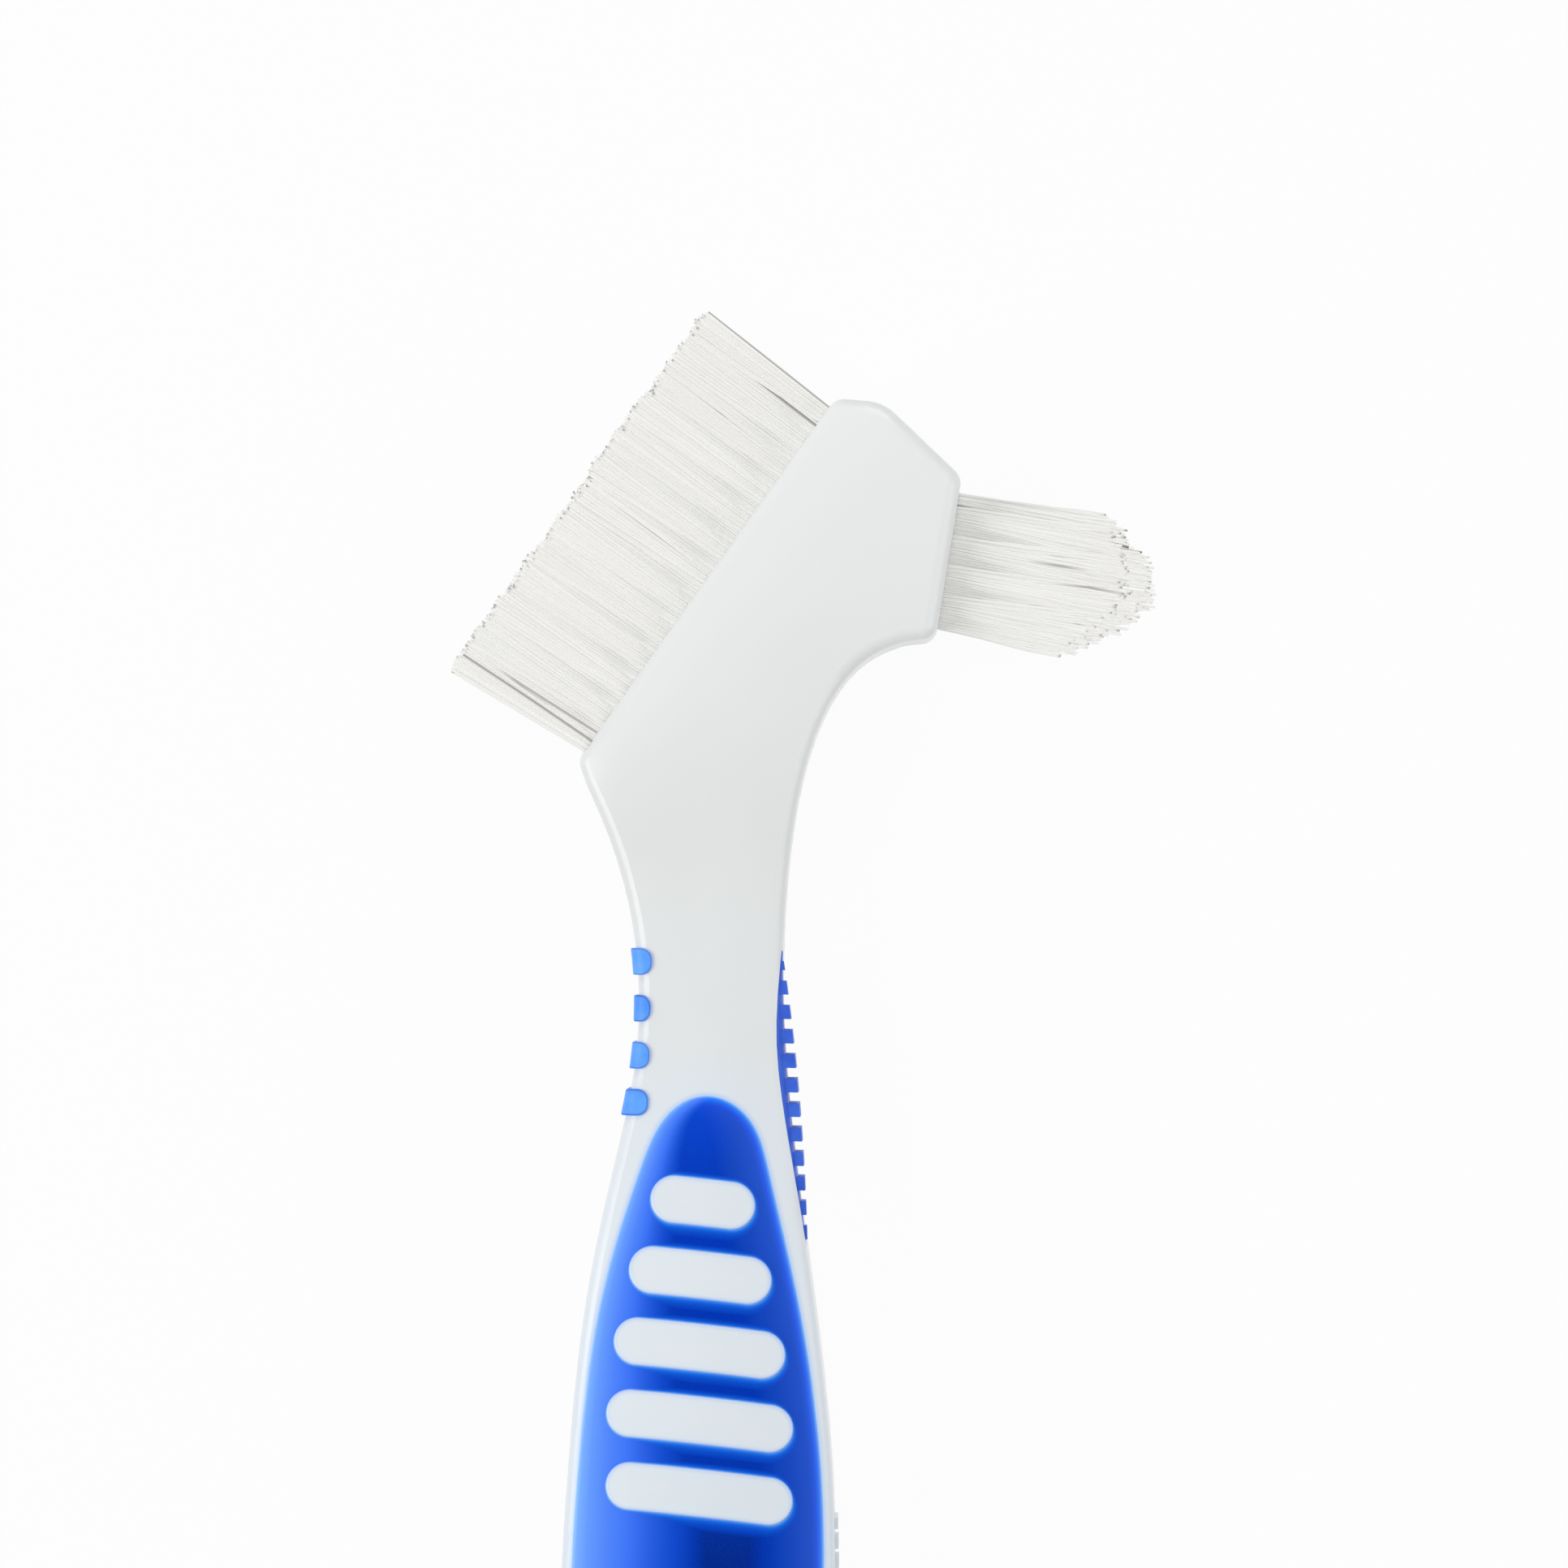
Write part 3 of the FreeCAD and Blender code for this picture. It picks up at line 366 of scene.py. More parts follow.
def panel_sides(y):
    """The left and right ends of the panel at a place along the handle, in millimetres."""
    start, end = panel_points[panel_edges[:, 0]], panel_points[panel_edges[:, 1]]
    crossing = (start[:, 1] - y) * (end[:, 1] - y) < 0
    start, end = start[crossing], end[crossing]
    share = (y - start[:, 1]) / (end[:, 1] - start[:, 1])
    across = start[:, 0] + (end[:, 0] - start[:, 0]) * share
    return across.min(), across.max()


stations = []
for y in [panel_top_y - drop for drop in TOP_DROPS] + [panel_bottom_y + rise for rise in BOTTOM_RISES]:
    left, right = panel_sides(y)
    stations.append((y, (left + right) / 2, ((right - left) / 2) ** 2))
print(len(stations), "places measured from", round(panel_top_y, 1), "to", round(panel_bottom_y, 1))

# %% [markdown]
# ## The outline as curves
# A shader can't look a width up in a list, but a Float Curve node can hold one. It takes and gives values
# from 0 to 1, so the places and the measures are scaled to fit and scaled back after it. Both curves go in
# a node group, which every finish that needs them can use.

# %% Two curves of the outline
CURVE_MARGIN = 4.0
MIDDLE_SPAN, MIDDLE_ZERO = 4.0, 0.5
SQUARE_SPAN, SQUARE_ZERO = 300.0, 0.4


def curve_points():
    """The ends of the curves, and the stations in order with one more beyond each end of the panel."""
    ordered = sorted(stations)
    low, high = panel_bottom_y - CURVE_MARGIN, panel_top_y + CURVE_MARGIN
    beyond = []
    for near, inner, y in ((ordered[-1], ordered[-2], high), (ordered[0], ordered[1], low)):
        slope = (near[2] - inner[2]) / (near[0] - inner[0])
        beyond.append((y, near[1], near[2] + slope * (y - near[0])))
    return low, high, sorted(ordered + beyond)


def outline_group():
    """A node group that gives the middle and the squared half width of the panel at a Y."""
    group = bpy.data.node_groups.new("panel_outline", "ShaderNodeTree")
    group.interface.new_socket("Y", in_out="INPUT", socket_type="NodeSocketFloat")
    group.interface.new_socket("Middle", in_out="OUTPUT", socket_type="NodeSocketFloat")
    group.interface.new_socket("Square", in_out="OUTPUT", socket_type="NodeSocketFloat")
    entry = group.nodes.new("NodeGroupInput")
    result = group.nodes.new("NodeGroupOutput")
    low, high, points = curve_points()
    place = calculate(group, "DIVIDE", calculate(group, "SUBTRACT", entry.outputs["Y"], low), high - low)
    for name, column, span, zero in (("Middle", 1, MIDDLE_SPAN, MIDDLE_ZERO),
                                     ("Square", 2, SQUARE_SPAN, SQUARE_ZERO)):
        node = group.nodes.new("ShaderNodeFloatCurve")
        curve = node.mapping.curves[0]
        shares = [((row[0] - low) / (high - low), row[column] / span + zero) for row in points]
        curve.points[0].location, curve.points[1].location = shares[0], shares[-1]
        for share in shares[1:-1]:
            curve.points.new(*share)
        node.mapping.update()
        group.links.new(place, node.inputs["Value"])
        value = calculate(group, "MULTIPLY", calculate(group, "SUBTRACT", node.outputs[0], zero), span)
        group.links.new(value, result.inputs[name])
    return group


PANEL_OUTLINE = outline_group()


def outline_at(tree, y):
    """The middle and the squared half width of the panel at a Y."""
    node = tree.nodes.new("ShaderNodeGroup")
    node.node_tree = PANEL_OUTLINE
    put(tree, node.inputs["Y"], y)
    return node.outputs["Middle"], node.outputs["Square"]


print(PANEL_OUTLINE.name, "holds", len(stations), "stations")

# %% [markdown]
# ## The windows
# The white bars show through five windows in the panel. Each window is a bar with round ends that slants a
# little and droops at its ends. Its sizes are the drawing's, and its distance is a short formula: the nearest
# window is found first, then the place is turned into the window's own directions and measured from its
# middle line.

# %% The distance to the nearest window
WINDOW_COUNT = 5
WINDOW_TOP_Y = -44.3
WINDOW_PITCH = 6.35
WINDOW_HALF_HEIGHT = 2.1
WINDOW_SIDE_GAP = 1.85
WINDOW_LONGEST = 16.5
WINDOW_SLANT = math.radians(5.0)
WINDOW_BEND_RADIUS = 170.0


def nearest_window(tree, x, y):
    """The middle of the nearest window, and the half length of its straight part."""
    level = calculate(tree, "ADD", y, calculate(tree, "MULTIPLY", x, math.tan(WINDOW_SLANT)))
    number = calculate(tree, "DIVIDE", calculate(tree, "SUBTRACT", WINDOW_TOP_Y, level), WINDOW_PITCH)
    number = calculate(tree, "ROUND", number)
    number = calculate(tree, "MINIMUM", calculate(tree, "MAXIMUM", number, 0), WINDOW_COUNT - 1)
    middle_y = calculate(tree, "SUBTRACT", WINDOW_TOP_Y, calculate(tree, "MULTIPLY", number, WINDOW_PITCH))
    middle_x, square = outline_at(tree, middle_y)
    length = calculate(tree, "SUBTRACT", calculate(tree, "SQRT", square), WINDOW_SIDE_GAP)
    length = calculate(tree, "MINIMUM", length, WINDOW_LONGEST / 2)
    return middle_x, middle_y, calculate(tree, "SUBTRACT", length, WINDOW_HALF_HEIGHT)


def window_distance(tree, x, y):
    """Distance outside the nearest window, below 0 inside it, and the height above its middle, in mm."""
    middle_x, middle_y, straight = nearest_window(tree, x, y)
    across, up = calculate(tree, "SUBTRACT", x, middle_x), calculate(tree, "SUBTRACT", y, middle_y)
    turned_across = calculate(
        tree, "SUBTRACT", calculate(tree, "MULTIPLY", across, math.cos(WINDOW_SLANT)),
        calculate(tree, "MULTIPLY", up, math.sin(WINDOW_SLANT)),
    )
    turned_up = calculate(
        tree, "ADD", calculate(tree, "MULTIPLY", across, math.sin(WINDOW_SLANT)),
        calculate(tree, "MULTIPLY", up, math.cos(WINDOW_SLANT)),
    )
    from_middle = calculate(tree, "ABSOLUTE", turned_across)
    droop = calculate(tree, "DIVIDE", calculate(tree, "POWER", from_middle, 2), 2 * WINDOW_BEND_RADIUS)
    turned_up = calculate(tree, "ADD", turned_up, droop)
    end = calculate(tree, "MAXIMUM", calculate(tree, "SUBTRACT", from_middle, straight), 0)
    squares = calculate(tree, "ADD", calculate(tree, "MULTIPLY", end, end),
                        calculate(tree, "MULTIPLY", turned_up, turned_up))
    return calculate(tree, "SUBTRACT", calculate(tree, "SQRT", squares), WINDOW_HALF_HEIGHT), turned_up


print(WINDOW_COUNT, "windows, the top one at", WINDOW_TOP_Y, "mm")

# %% [markdown]
# ## All measures in one group
# The finishes also need the distance to the panel's left and right sides, and the place along the handle.
# The distance to the outer edge is the difference of two squares divided by how fast it changes, which is
# right near the edge, where it matters.

# %% The measures of a place in the panel
MEASURES = ("Distance", "From edge", "From window", "Above window", "From left", "From right",
            "Along", "Height")


def edge_group():
    """A node group that measures a place in the panel. The distance is below 0 outside its edge."""
    group = bpy.data.node_groups.new("panel_edge_distance", "ShaderNodeTree")
    group.interface.new_socket("Place", in_out="INPUT", socket_type="NodeSocketVector")
    for name in MEASURES:
        group.interface.new_socket(name, in_out="OUTPUT", socket_type="NodeSocketFloat")
    entry = group.nodes.new("NodeGroupInput")
    result = group.nodes.new("NodeGroupOutput")
    split = group.nodes.new("ShaderNodeSeparateXYZ")
    group.links.new(entry.outputs["Place"], split.inputs[0])
    x, y, z = (calculate(group, "DIVIDE", split.outputs[name], MM) for name in "XYZ")
    middle, square = outline_at(group, y)
    next_square = outline_at(group, calculate(group, "ADD", y, 1.0))[1]
    slope = calculate(group, "SUBTRACT", next_square, square)
    across = calculate(group, "SUBTRACT", x, middle)
    across_square = calculate(group, "MULTIPLY", across, across)
    steepness = calculate(group, "ADD", calculate(group, "MULTIPLY", across_square, 4),
                          calculate(group, "MULTIPLY", slope, slope))
    inside = calculate(group, "DIVIDE", calculate(group, "SUBTRACT", square, across_square),
                       calculate(group, "SQRT", calculate(group, "ADD", steepness, 1.0)))
    from_window, above_window = window_distance(group, x, y)
    distance = calculate(group, "MINIMUM", inside, from_window)
    half_width = calculate(group, "SQRT", calculate(group, "MAXIMUM", square, 0))
    from_left = calculate(group, "ADD", half_width, across)
    from_right = calculate(group, "SUBTRACT", half_width, across)
    values = (distance, inside, from_window, above_window, from_left, from_right, y, z)
    for name, value in zip(MEASURES, values):
        group.links.new(value, result.inputs[name])
    return group


PANEL_EDGE = edge_group()


def panel_measures(tree):
    """The measures of a place in the panel, in millimetres."""
    node = tree.nodes.new("ShaderNodeGroup")
    node.node_tree = PANEL_EDGE
    tree.links.new(object_place(tree), node.inputs["Place"])
    return node.outputs


print(PANEL_EDGE.name, "gives", ", ".join(MEASURES))

# %% [markdown]
# ## The white moulding
# The body is one glossy polypropylene moulding, and its imported shape is right, so it keeps that and gets a
# finish. Its white changes a little along the brush, from warm at the head to cool at the grip, with painted
# light that makes the head lighter and painted shade that makes the neck darker, and is slightly cloudy.
# Light gloss and the faint waves of shrunken plastic lie over it. Beside the panel and in its windows the
# white takes a painted blue light, as if the panel scattered light into it, and right at the edge a painted
# glow of the panel's own blue.

# %% Glossy white plastic
# A warm-to-cool tone along the brush, with painted light that makes the head lighter and painted shade that
# makes the neck darker.
TONE_AND_PAINTED_LIGHT_ALONG = ((0.0, (238, 239, 235)), (14.0, (232, 234, 233)), (34.0, (229, 231, 230)),
              (48.0, (223, 225, 224)), (66.0, (224, 227, 227)), (86.0, (226, 231, 233)),
              (110.0, (220, 226, 230)))
CLOUDY_WHITE, CLOUD_SHARE, CLOUDS_PER_MM = linear(234, 236, 236), 0.3, 0.06
# Painted blue light that the panel seems to scatter into the white beside it, and a painted glow of its blue
# right at the edge.
BLUE_LIGHT_BLEED_COLOUR, BLUE_LIGHT_BLEED_SHARE, BLUE_LIGHT_BLEED_REACH = linear(216, 227, 238), 0.5, 5.0
GLOW_COLOUR, GLOW_SHARE, GLOW_REACH = linear(140, 182, 252), 0.6, 0.5
GLOW_OVERLAP = 0.15
PANEL_LEVEL, PANEL_LEVEL_SOFTNESS = 10.0, 1.0
WAVES_PER_MM, WAVE_DEPTH = 0.12, 0.02

white_plastic, tree, shader = finish("white_plastic_gloss", 0.3)
measures = panel_measures(tree)
from_edge = measures["Distance"]
in_front = soft_step(tree, measures["Height"], PANEL_LEVEL, PANEL_LEVEL + PANEL_LEVEL_SOFTNESS)
blue_light_bleed = soft_step(tree, from_edge, -BLUE_LIGHT_BLEED_REACH, 0.0, 0.0, BLUE_LIGHT_BLEED_SHARE)
glow = soft_step(tree, from_edge, -GLOW_REACH, GLOW_OVERLAP, 0.0, GLOW_SHARE)
below_head = calculate(tree, "SUBTRACT", cad_box[1][1] / MM, measures["Along"])
colour = colour_along(tree, below_head, TONE_AND_PAINTED_LIGHT_ALONG)
colour = blend_colours(tree, patches(tree, CLOUDS_PER_MM, CLOUD_SHARE), colour, CLOUDY_WHITE)
# Paints the blue light and the glow into the white, only on the front.
for share, blue in ((blue_light_bleed, BLUE_LIGHT_BLEED_COLOUR), (glow, GLOW_COLOUR)):
    colour = blend_colours(tree, calculate(tree, "MULTIPLY", share, in_front), colour, blue)
put(tree, shader.inputs["Base Color"], colour)
shader.inputs["Coat Weight"].default_value = 0.12
shader.inputs["Coat Roughness"].default_value = 0.08
raise_by(tree, shader, cloud(tree, WAVES_PER_MM), WAVE_DEPTH)
wear(nodes["body"], white_plastic)

# %% [markdown]
# ## The blue panel
# The panel is a soft elastomer, moulded into the grip. It is satin and lets some light through, so it is
# deep blue in its middle, darker towards the bottom, and lighter where it thins out: in a narrow band on its
# right and in a bright rim at its edge and round its windows. The wide band on its left is partly that thin
# edge and partly painted light from the key lamp on that side. True translucency would need a thin shell and
# many samples. Instead each band is one row of colours along a distance, and the lightest wins.

# %% The panel's rows of colours
# Painted light: the wide left band is lighter where the key lamp falls from the left, over the thinning edge.
LEFT_PAINTED_LIGHT_COLOURS = ((0.0, (160, 210, 255)), (0.3, (124, 176, 254)), (1.1, (102, 155, 253)),
                (1.9, (92, 144, 252)), (2.8, (79, 132, 250)), (3.6, (71, 125, 248)),
                (4.5, (60, 114, 243)), (5.4, (47, 101, 230)), (6.2, (36, 90, 220)),
                (7.1, (22, 80, 210)), (8.0, (12, 70, 200)), (9.2, (3, 55, 176)), (10.4, (0, 38, 134)))
RIGHT_COLOURS = ((0.0, (120, 174, 245)), (0.3, (62, 118, 228)), (0.6, (46, 94, 212)), (1.1, (38, 84, 203)),
                 (2.0, (31, 78, 197)), (2.9, (23, 72, 191)), (3.7, (15, 67, 187)), (4.6, (5, 58, 180)),
                 (5.5, (0, 50, 170)), (7.0, (0, 36, 130)))
EDGE_COLOURS = ((0.0, (136, 196, 254)), (0.4, (32, 128, 250)), (0.8, (14, 102, 240)), (1.2, (8, 84, 224)),
                (1.8, (4, 66, 202)), (2.6, (0, 40, 140)))
WINDOW_COLOURS = ((0.0, (124, 184, 252)), (0.12, (54, 134, 244)), (0.3, (22, 98, 220)),
                  (0.55, (10, 78, 202)), (0.9, (3, 64, 190)), (1.4, (0, 38, 134)))
# The middle's deep blue, darker towards the bottom of the panel.
DEEP_COLOURS = ((0.0, (7, 78, 218)), (2.0, (7, 67, 204)), (5.6, (4, 60, 190)), (11.0, (1, 54, 184)),
                (17.0, (0, 52, 177)), (24.0, (1, 53, 178)), (33.0, (2, 52, 172)), (37.0, (3, 47, 155)),
                (41.0, (1, 40, 138)))
print("the left band is", LEFT_PAINTED_LIGHT_COLOURS[-1][0], "mm wide, the right one", RIGHT_COLOURS[-1][0])

# %% [markdown]
# ## How wide each band is
# The left band of painted light narrows evenly towards the panel's round top. The outer rim is thinner on the
# right than on the left, where painted light from the key lamp widens it, and the rim of a window is thinner
# above it than below. Each of them is a distance multiplied by a number that changes with a second
# distance, which costs less than rows of colours of their own.

# %% Soft-touch blue
BAND_LOW_Y, BAND_HIGH_Y = -73.0, -36.6
BAND_LOW_WIDTH, BAND_HIGH_WIDTH = 1.15, 0.28
UPPER_SIDE_START, UPPER_SIDE_END, UPPER_SIDE_THINNER = -1.0, 2.0, 2.2
RIGHT_RIM_START, RIGHT_RIM_END, RIGHT_RIM_THINNER = 2.0, 6.0, 1.7
GRAIN_COLOUR, GRAIN_SHARE, GRAINS_PER_MM = linear(40, 104, 236), 0.06, 5.0
GRAIN_START, GRAIN_END, FINE_DETAIL = 0.3, 0.8, 3.0
SATIN_PER_MM, SATIN_DEPTH, SATIN_STRENGTH = 9.0, 0.02, 0.5

soft_blue, tree, shader = finish("soft_touch_blue", 0.5)
measures = panel_measures(tree)
below_top = calculate(tree, "SUBTRACT", panel_top_y, measures["Along"])
# How wide the left band of painted light is, narrower towards the top.
band = even_step(tree, measures["Along"], BAND_LOW_Y, BAND_HIGH_Y, BAND_LOW_WIDTH, BAND_HIGH_WIDTH)
above = soft_step(tree, measures["Above window"], UPPER_SIDE_START, UPPER_SIDE_END, 1.0, UPPER_SIDE_THINNER)
# The outer rim is thinner on the right, as painted light from the key lamp widens it on the left.
right = soft_step(tree, measures["From right"], RIGHT_RIM_START, RIGHT_RIM_END, RIGHT_RIM_THINNER, 1.0)
colour = lightest(
    tree,
    colour_along(tree, below_top, DEEP_COLOURS),
    colour_along(tree, calculate(tree, "DIVIDE", measures["From left"], band), LEFT_PAINTED_LIGHT_COLOURS),
    colour_along(tree, measures["From right"], RIGHT_COLOURS),
    colour_along(tree, calculate(tree, "MULTIPLY", measures["From edge"], right), EDGE_COLOURS),
    colour_along(tree, calculate(tree, "MULTIPLY", measures["From window"], above), WINDOW_COLOURS),
)
grains = soft_step(tree, cloud(tree, GRAINS_PER_MM, FINE_DETAIL), GRAIN_START, GRAIN_END, 0.0, GRAIN_SHARE)
put(tree, shader.inputs["Base Color"], blend_colours(tree, grains, colour, GRAIN_COLOUR))
shader.inputs["Specular IOR Level"].default_value = 0.02
raise_by(tree, shader, cloud(tree, SATIN_PER_MM, FINE_DETAIL), SATIN_DEPTH, SATIN_STRENGTH)
wear(nodes["front_grip_panel"], soft_blue)

# %% [markdown]
# ## The rubber pads
# The four finger pads and the ribbed thumb pad are the same elastomer, but their edges are rounded, as
# rubber comes out of its mould. A copy of each packed pad is merged into one skin and a Bevel modifier
# rounds its sharp edges, with the modifier applied so that the piece is finished. The rounded edges turn
# away from the light, so the Bevel gives them painted shade: a darker copy of the rubber.

# %% A merged copy of a imported node
MERGE_DISTANCE = 0.001 * MM


def merged_copy(node_name):
    """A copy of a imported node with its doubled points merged, selected and in edit mode."""
    bpy.ops.object.select_all(action="DESELECT")
    copy = nodes[node_name].copy()
    copy.data = nodes[node_name].data.copy()
    copy.parent = None
    scene.collection.objects.link(copy)
    copy.select_set(True)
    bpy.context.view_layer.objects.active = copy
    bpy.ops.mesh.customdata_custom_splitnormals_clear()
    bpy.ops.object.mode_set(mode="EDIT")
    bpy.ops.mesh.select_all(action="SELECT")
    bpy.ops.mesh.remove_doubles(threshold=MERGE_DISTANCE)
    return copy


def hand_over(piece, node_name):
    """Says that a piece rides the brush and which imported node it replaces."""
    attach(piece, "root")
    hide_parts(node_name)
    print(piece.name, "replaces", node_name)


print("points nearer than", MERGE_DISTANCE, "m are merged")

# %% Rounded copies of the pads
PAD_BEVEL = 0.22
RIB_BEVEL = 0.12
BEVEL_SEGMENTS = 3
SHARP_ANGLE = math.radians(38)
FLAT_ANGLE = math.radians(1.0)


def rounded_copy(node_name, piece_name, width_mm, skin, edge):
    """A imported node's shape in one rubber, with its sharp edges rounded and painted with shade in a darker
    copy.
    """
    piece = merged_copy(node_name)
    piece.name = piece_name
    bpy.ops.mesh.dissolve_limited(angle_limit=FLAT_ANGLE)
    bpy.ops.object.mode_set(mode="OBJECT")
    piece.data.materials.clear()
    for material in (skin, edge):
        piece.data.materials.append(material)
    for face in piece.data.polygons:
        face.material_index = 0
    bevel = piece.modifiers.new("rounded_edges", "BEVEL")
    bevel.width = width_mm * MM
    bevel.segments = BEVEL_SEGMENTS
    bevel.limit_method = "ANGLE"
    bevel.angle_limit = SHARP_ANGLE
    # The rounded edges take the second material, which paints their shade.
    bevel.material = 1
    bpy.ops.object.modifier_apply(modifier=bevel.name)
    bpy.ops.object.shade_smooth_by_angle(angle=SHARP_ANGLE)
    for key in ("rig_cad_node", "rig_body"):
        if key in piece:
            del piece[key]
    print(piece.name, len(piece.data.polygons), "faces")
    return piece


print("edges sharper than", round(math.degrees(SHARP_ANGLE)), "degrees are rounded")

# %% [markdown]
# ## Rubber
# The pads are satin and let light in a little way, blue light the farthest, which subsurface scattering
# gives. The finger pads catch the key lamp, so their rubber is painted pale as painted light, and the thumb
# pad lies in the shade of the grip, so its rubber is painted darker as painted shade.

# %% Rubber for the pads
RUBBER_ROUGHNESS = 0.4
RUBBER_PATCHES_PER_MM = 0.4
RUBBER_GRAINS_PER_MM, RUBBER_GRAIN_DEPTH, RUBBER_GRAIN_STRENGTH = 8.0, 0.015, 0.5
LIGHT_DEPTH = 0.8 * MM


def rubber(name, dark, pale):
    """The pads' satin rubber, with soft patches between two blues."""
    material, tree, shader = finish(name, RUBBER_ROUGHNESS)
    share = patches(tree, RUBBER_PATCHES_PER_MM)
    put(tree, shader.inputs["Base Color"], blend_colours(tree, share, linear(*dark), linear(*pale)))
    shader.inputs["Specular IOR Level"].default_value = 0.3
    shader.inputs["Subsurface Weight"].default_value = 0.15
    shader.inputs["Subsurface Radius"].default_value = (0.1, 0.35, 1.0)
    shader.inputs["Subsurface Scale"].default_value = LIGHT_DEPTH
    grains = cloud(tree, RUBBER_GRAINS_PER_MM, FINE_DETAIL)
    raise_by(tree, shader, grains, RUBBER_GRAIN_DEPTH, RUBBER_GRAIN_STRENGTH)
    return material


# One elastomer in two copies: painted light on the finger pads, painted shade on the thumb pad.
finger_rubber = rubber("finger_rubber", (78, 150, 253), (98, 168, 255))
# Darker copies of each rubber paint the shade on the rounded edges.
finger_edge_painted_shade = rubber("finger_edge_painted_shade", (58, 118, 226), (76, 140, 240))
thumb_rubber = rubber("thumb_rubber", (46, 90, 206), (60, 108, 220))
thumb_edge_painted_shade = rubber("thumb_edge_painted_shade", (18, 40, 122), (30, 56, 148))
for number in range(1, 5):
    node_name = f"finger_pad_{number}"
    pad = rounded_copy(node_name, f"finger_rest_{number}", PAD_BEVEL, finger_rubber, finger_edge_painted_shade)
    hand_over(pad, node_name)
thumb_rest = rounded_copy("thumb_pad", "thumb_rest", RIB_BEVEL, thumb_rubber, thumb_edge_painted_shade)
hand_over(thumb_rest, "thumb_pad")

# %% [markdown]
# ## One filament
# A tuft is some three dozen nylon filaments of a quarter of a millimetre. Hair curves would be quick, but
# they are no mesh. So one filament is modelled: a hexagon is extruded along its length, and its cut
# end is made a little smaller. It stays one unit long, so that each copy can be stretched, bent and cut to
# its own length.

# %% A six-sided filament
FILAMENT_RADIUS = 0.125
FILAMENT_SIDES = 6
FILAMENT_RINGS = (0.16, 0.33, 0.5, 0.66, 0.82, 0.975, 1.0)
CUT_END_SCALE = 0.85
bpy.ops.object.select_all(action="DESELECT")
bpy.ops.mesh.primitive_circle_add(vertices=FILAMENT_SIDES, radius=FILAMENT_RADIUS, fill_type="NGON")
filament = bpy.context.object
filament.name = "one_filament"
bpy.ops.object.mode_set(mode="EDIT")
bpy.ops.mesh.select_all(action="SELECT")
for below, ring in zip((0.0,) + FILAMENT_RINGS, FILAMENT_RINGS):
    bpy.ops.mesh.extrude_region_move(TRANSFORM_OT_translate={"value": (0, 0, ring - below)})
bpy.ops.transform.resize(value=(CUT_END_SCALE, CUT_END_SCALE, 1))
bpy.ops.mesh.select_all(action="SELECT")
bpy.ops.mesh.normals_make_consistent(inside=False)
bpy.ops.object.mode_set(mode="OBJECT")
filament_points = np.array([vertex.co for vertex in filament.data.vertices])
filament_faces = [tuple(face.vertices) for face in filament.data.polygons]
bpy.data.objects.remove(filament)
print("one filament:", len(filament_points), "points,", len(filament_faces), "faces")

# %% [markdown]
# ## Where the tufts stand
# Each packed row is a set of tapered solids. Their places could be copied from the drawing, but measuring
# them keeps the brush right when the drawing changes. A copy of the row is merged and separated into its
# loose parts, and each part's two round ends give the tuft's axis, its length and how far it spreads.

# %% Measuring the tufts
END_RING_REACH = 0.25


def round_end(points, heights, level):
    """The middle and radius of the ring of points near one end of a tuft."""
    ring = points[np.abs(heights - level) < END_RING_REACH]
    middle = (ring.max(axis=0) + ring.min(axis=0)) / 2
    return middle, np.linalg.norm(ring - middle, axis=1).max()


def tufts_of(node_name):
    """The tufts of a row: foot at the hole's bottom, tip, and the two radii, all in millimetres."""
    merged_copy(node_name)
    bpy.ops.mesh.separate(type="LOOSE")
    bpy.ops.object.mode_set(mode="OBJECT")
    found = []
    for part in list(bpy.context.selected_objects):
        points = np.array([vertex.co for vertex in part.data.vertices]) / MM
        offsets = points - points.mean(axis=0)
        axis = np.linalg.svd(offsets, full_matrices=False)[2][0]
        heights = offsets @ axis
        ends = [round_end(points, heights, level) for level in (heights.min(), heights.max())]
        ends.sort(key=lambda end: end[1])
        (foot, foot_radius), (tip, tip_radius) = ends
        found.append((foot, tip, foot_radius, tip_radius))
        bpy.data.objects.remove(part)
    found.sort(key=lambda tuft: tuft[0][1])
    return found


print("flat row 1:", len(tufts_of("flat_brush_row_1")), "tufts")

# %% [markdown]
# ## A filament in its tuft
# Each tuft is filled with copies of the filament, set in a sunflower pattern so that none touch in the
# hole. Above the face they spread, stray and wave a little. A brush is trimmed as a whole, so each filament
# ends on a slope that leads from the tuft before it to the tuft after it. A shade on each filament paints a
# few darker or brighter, as painted reflections of the light that runs along clear nylon, and paints glints
# at its tip.

# %% One bent filament
FILAMENTS_PER_TUFT = 36
SUNFLOWER_TURN = math.pi * (3 - math.sqrt(5))
HOLE_DEPTH = 4.0
ANCHOR_TOP = 1.4
STRAY_BEND = 1.5
SHADES = (0.65, 0.78)
STREAK_PLACES, STREAK_REACHES = (0.1, 0.95), (0.15, 0.5)
STREAK_DEPTHS = (-0.6, -0.4, -0.25, 0.3, 0.3)
RIM_START, RIM_DEPTHS = 0.86, (0.35, 0.6)
GLINT_START, TIP_GLINTS = 0.99, (-0.45, -0.25, -0.1, -0.1, 0.0, 0.15, 0.3)


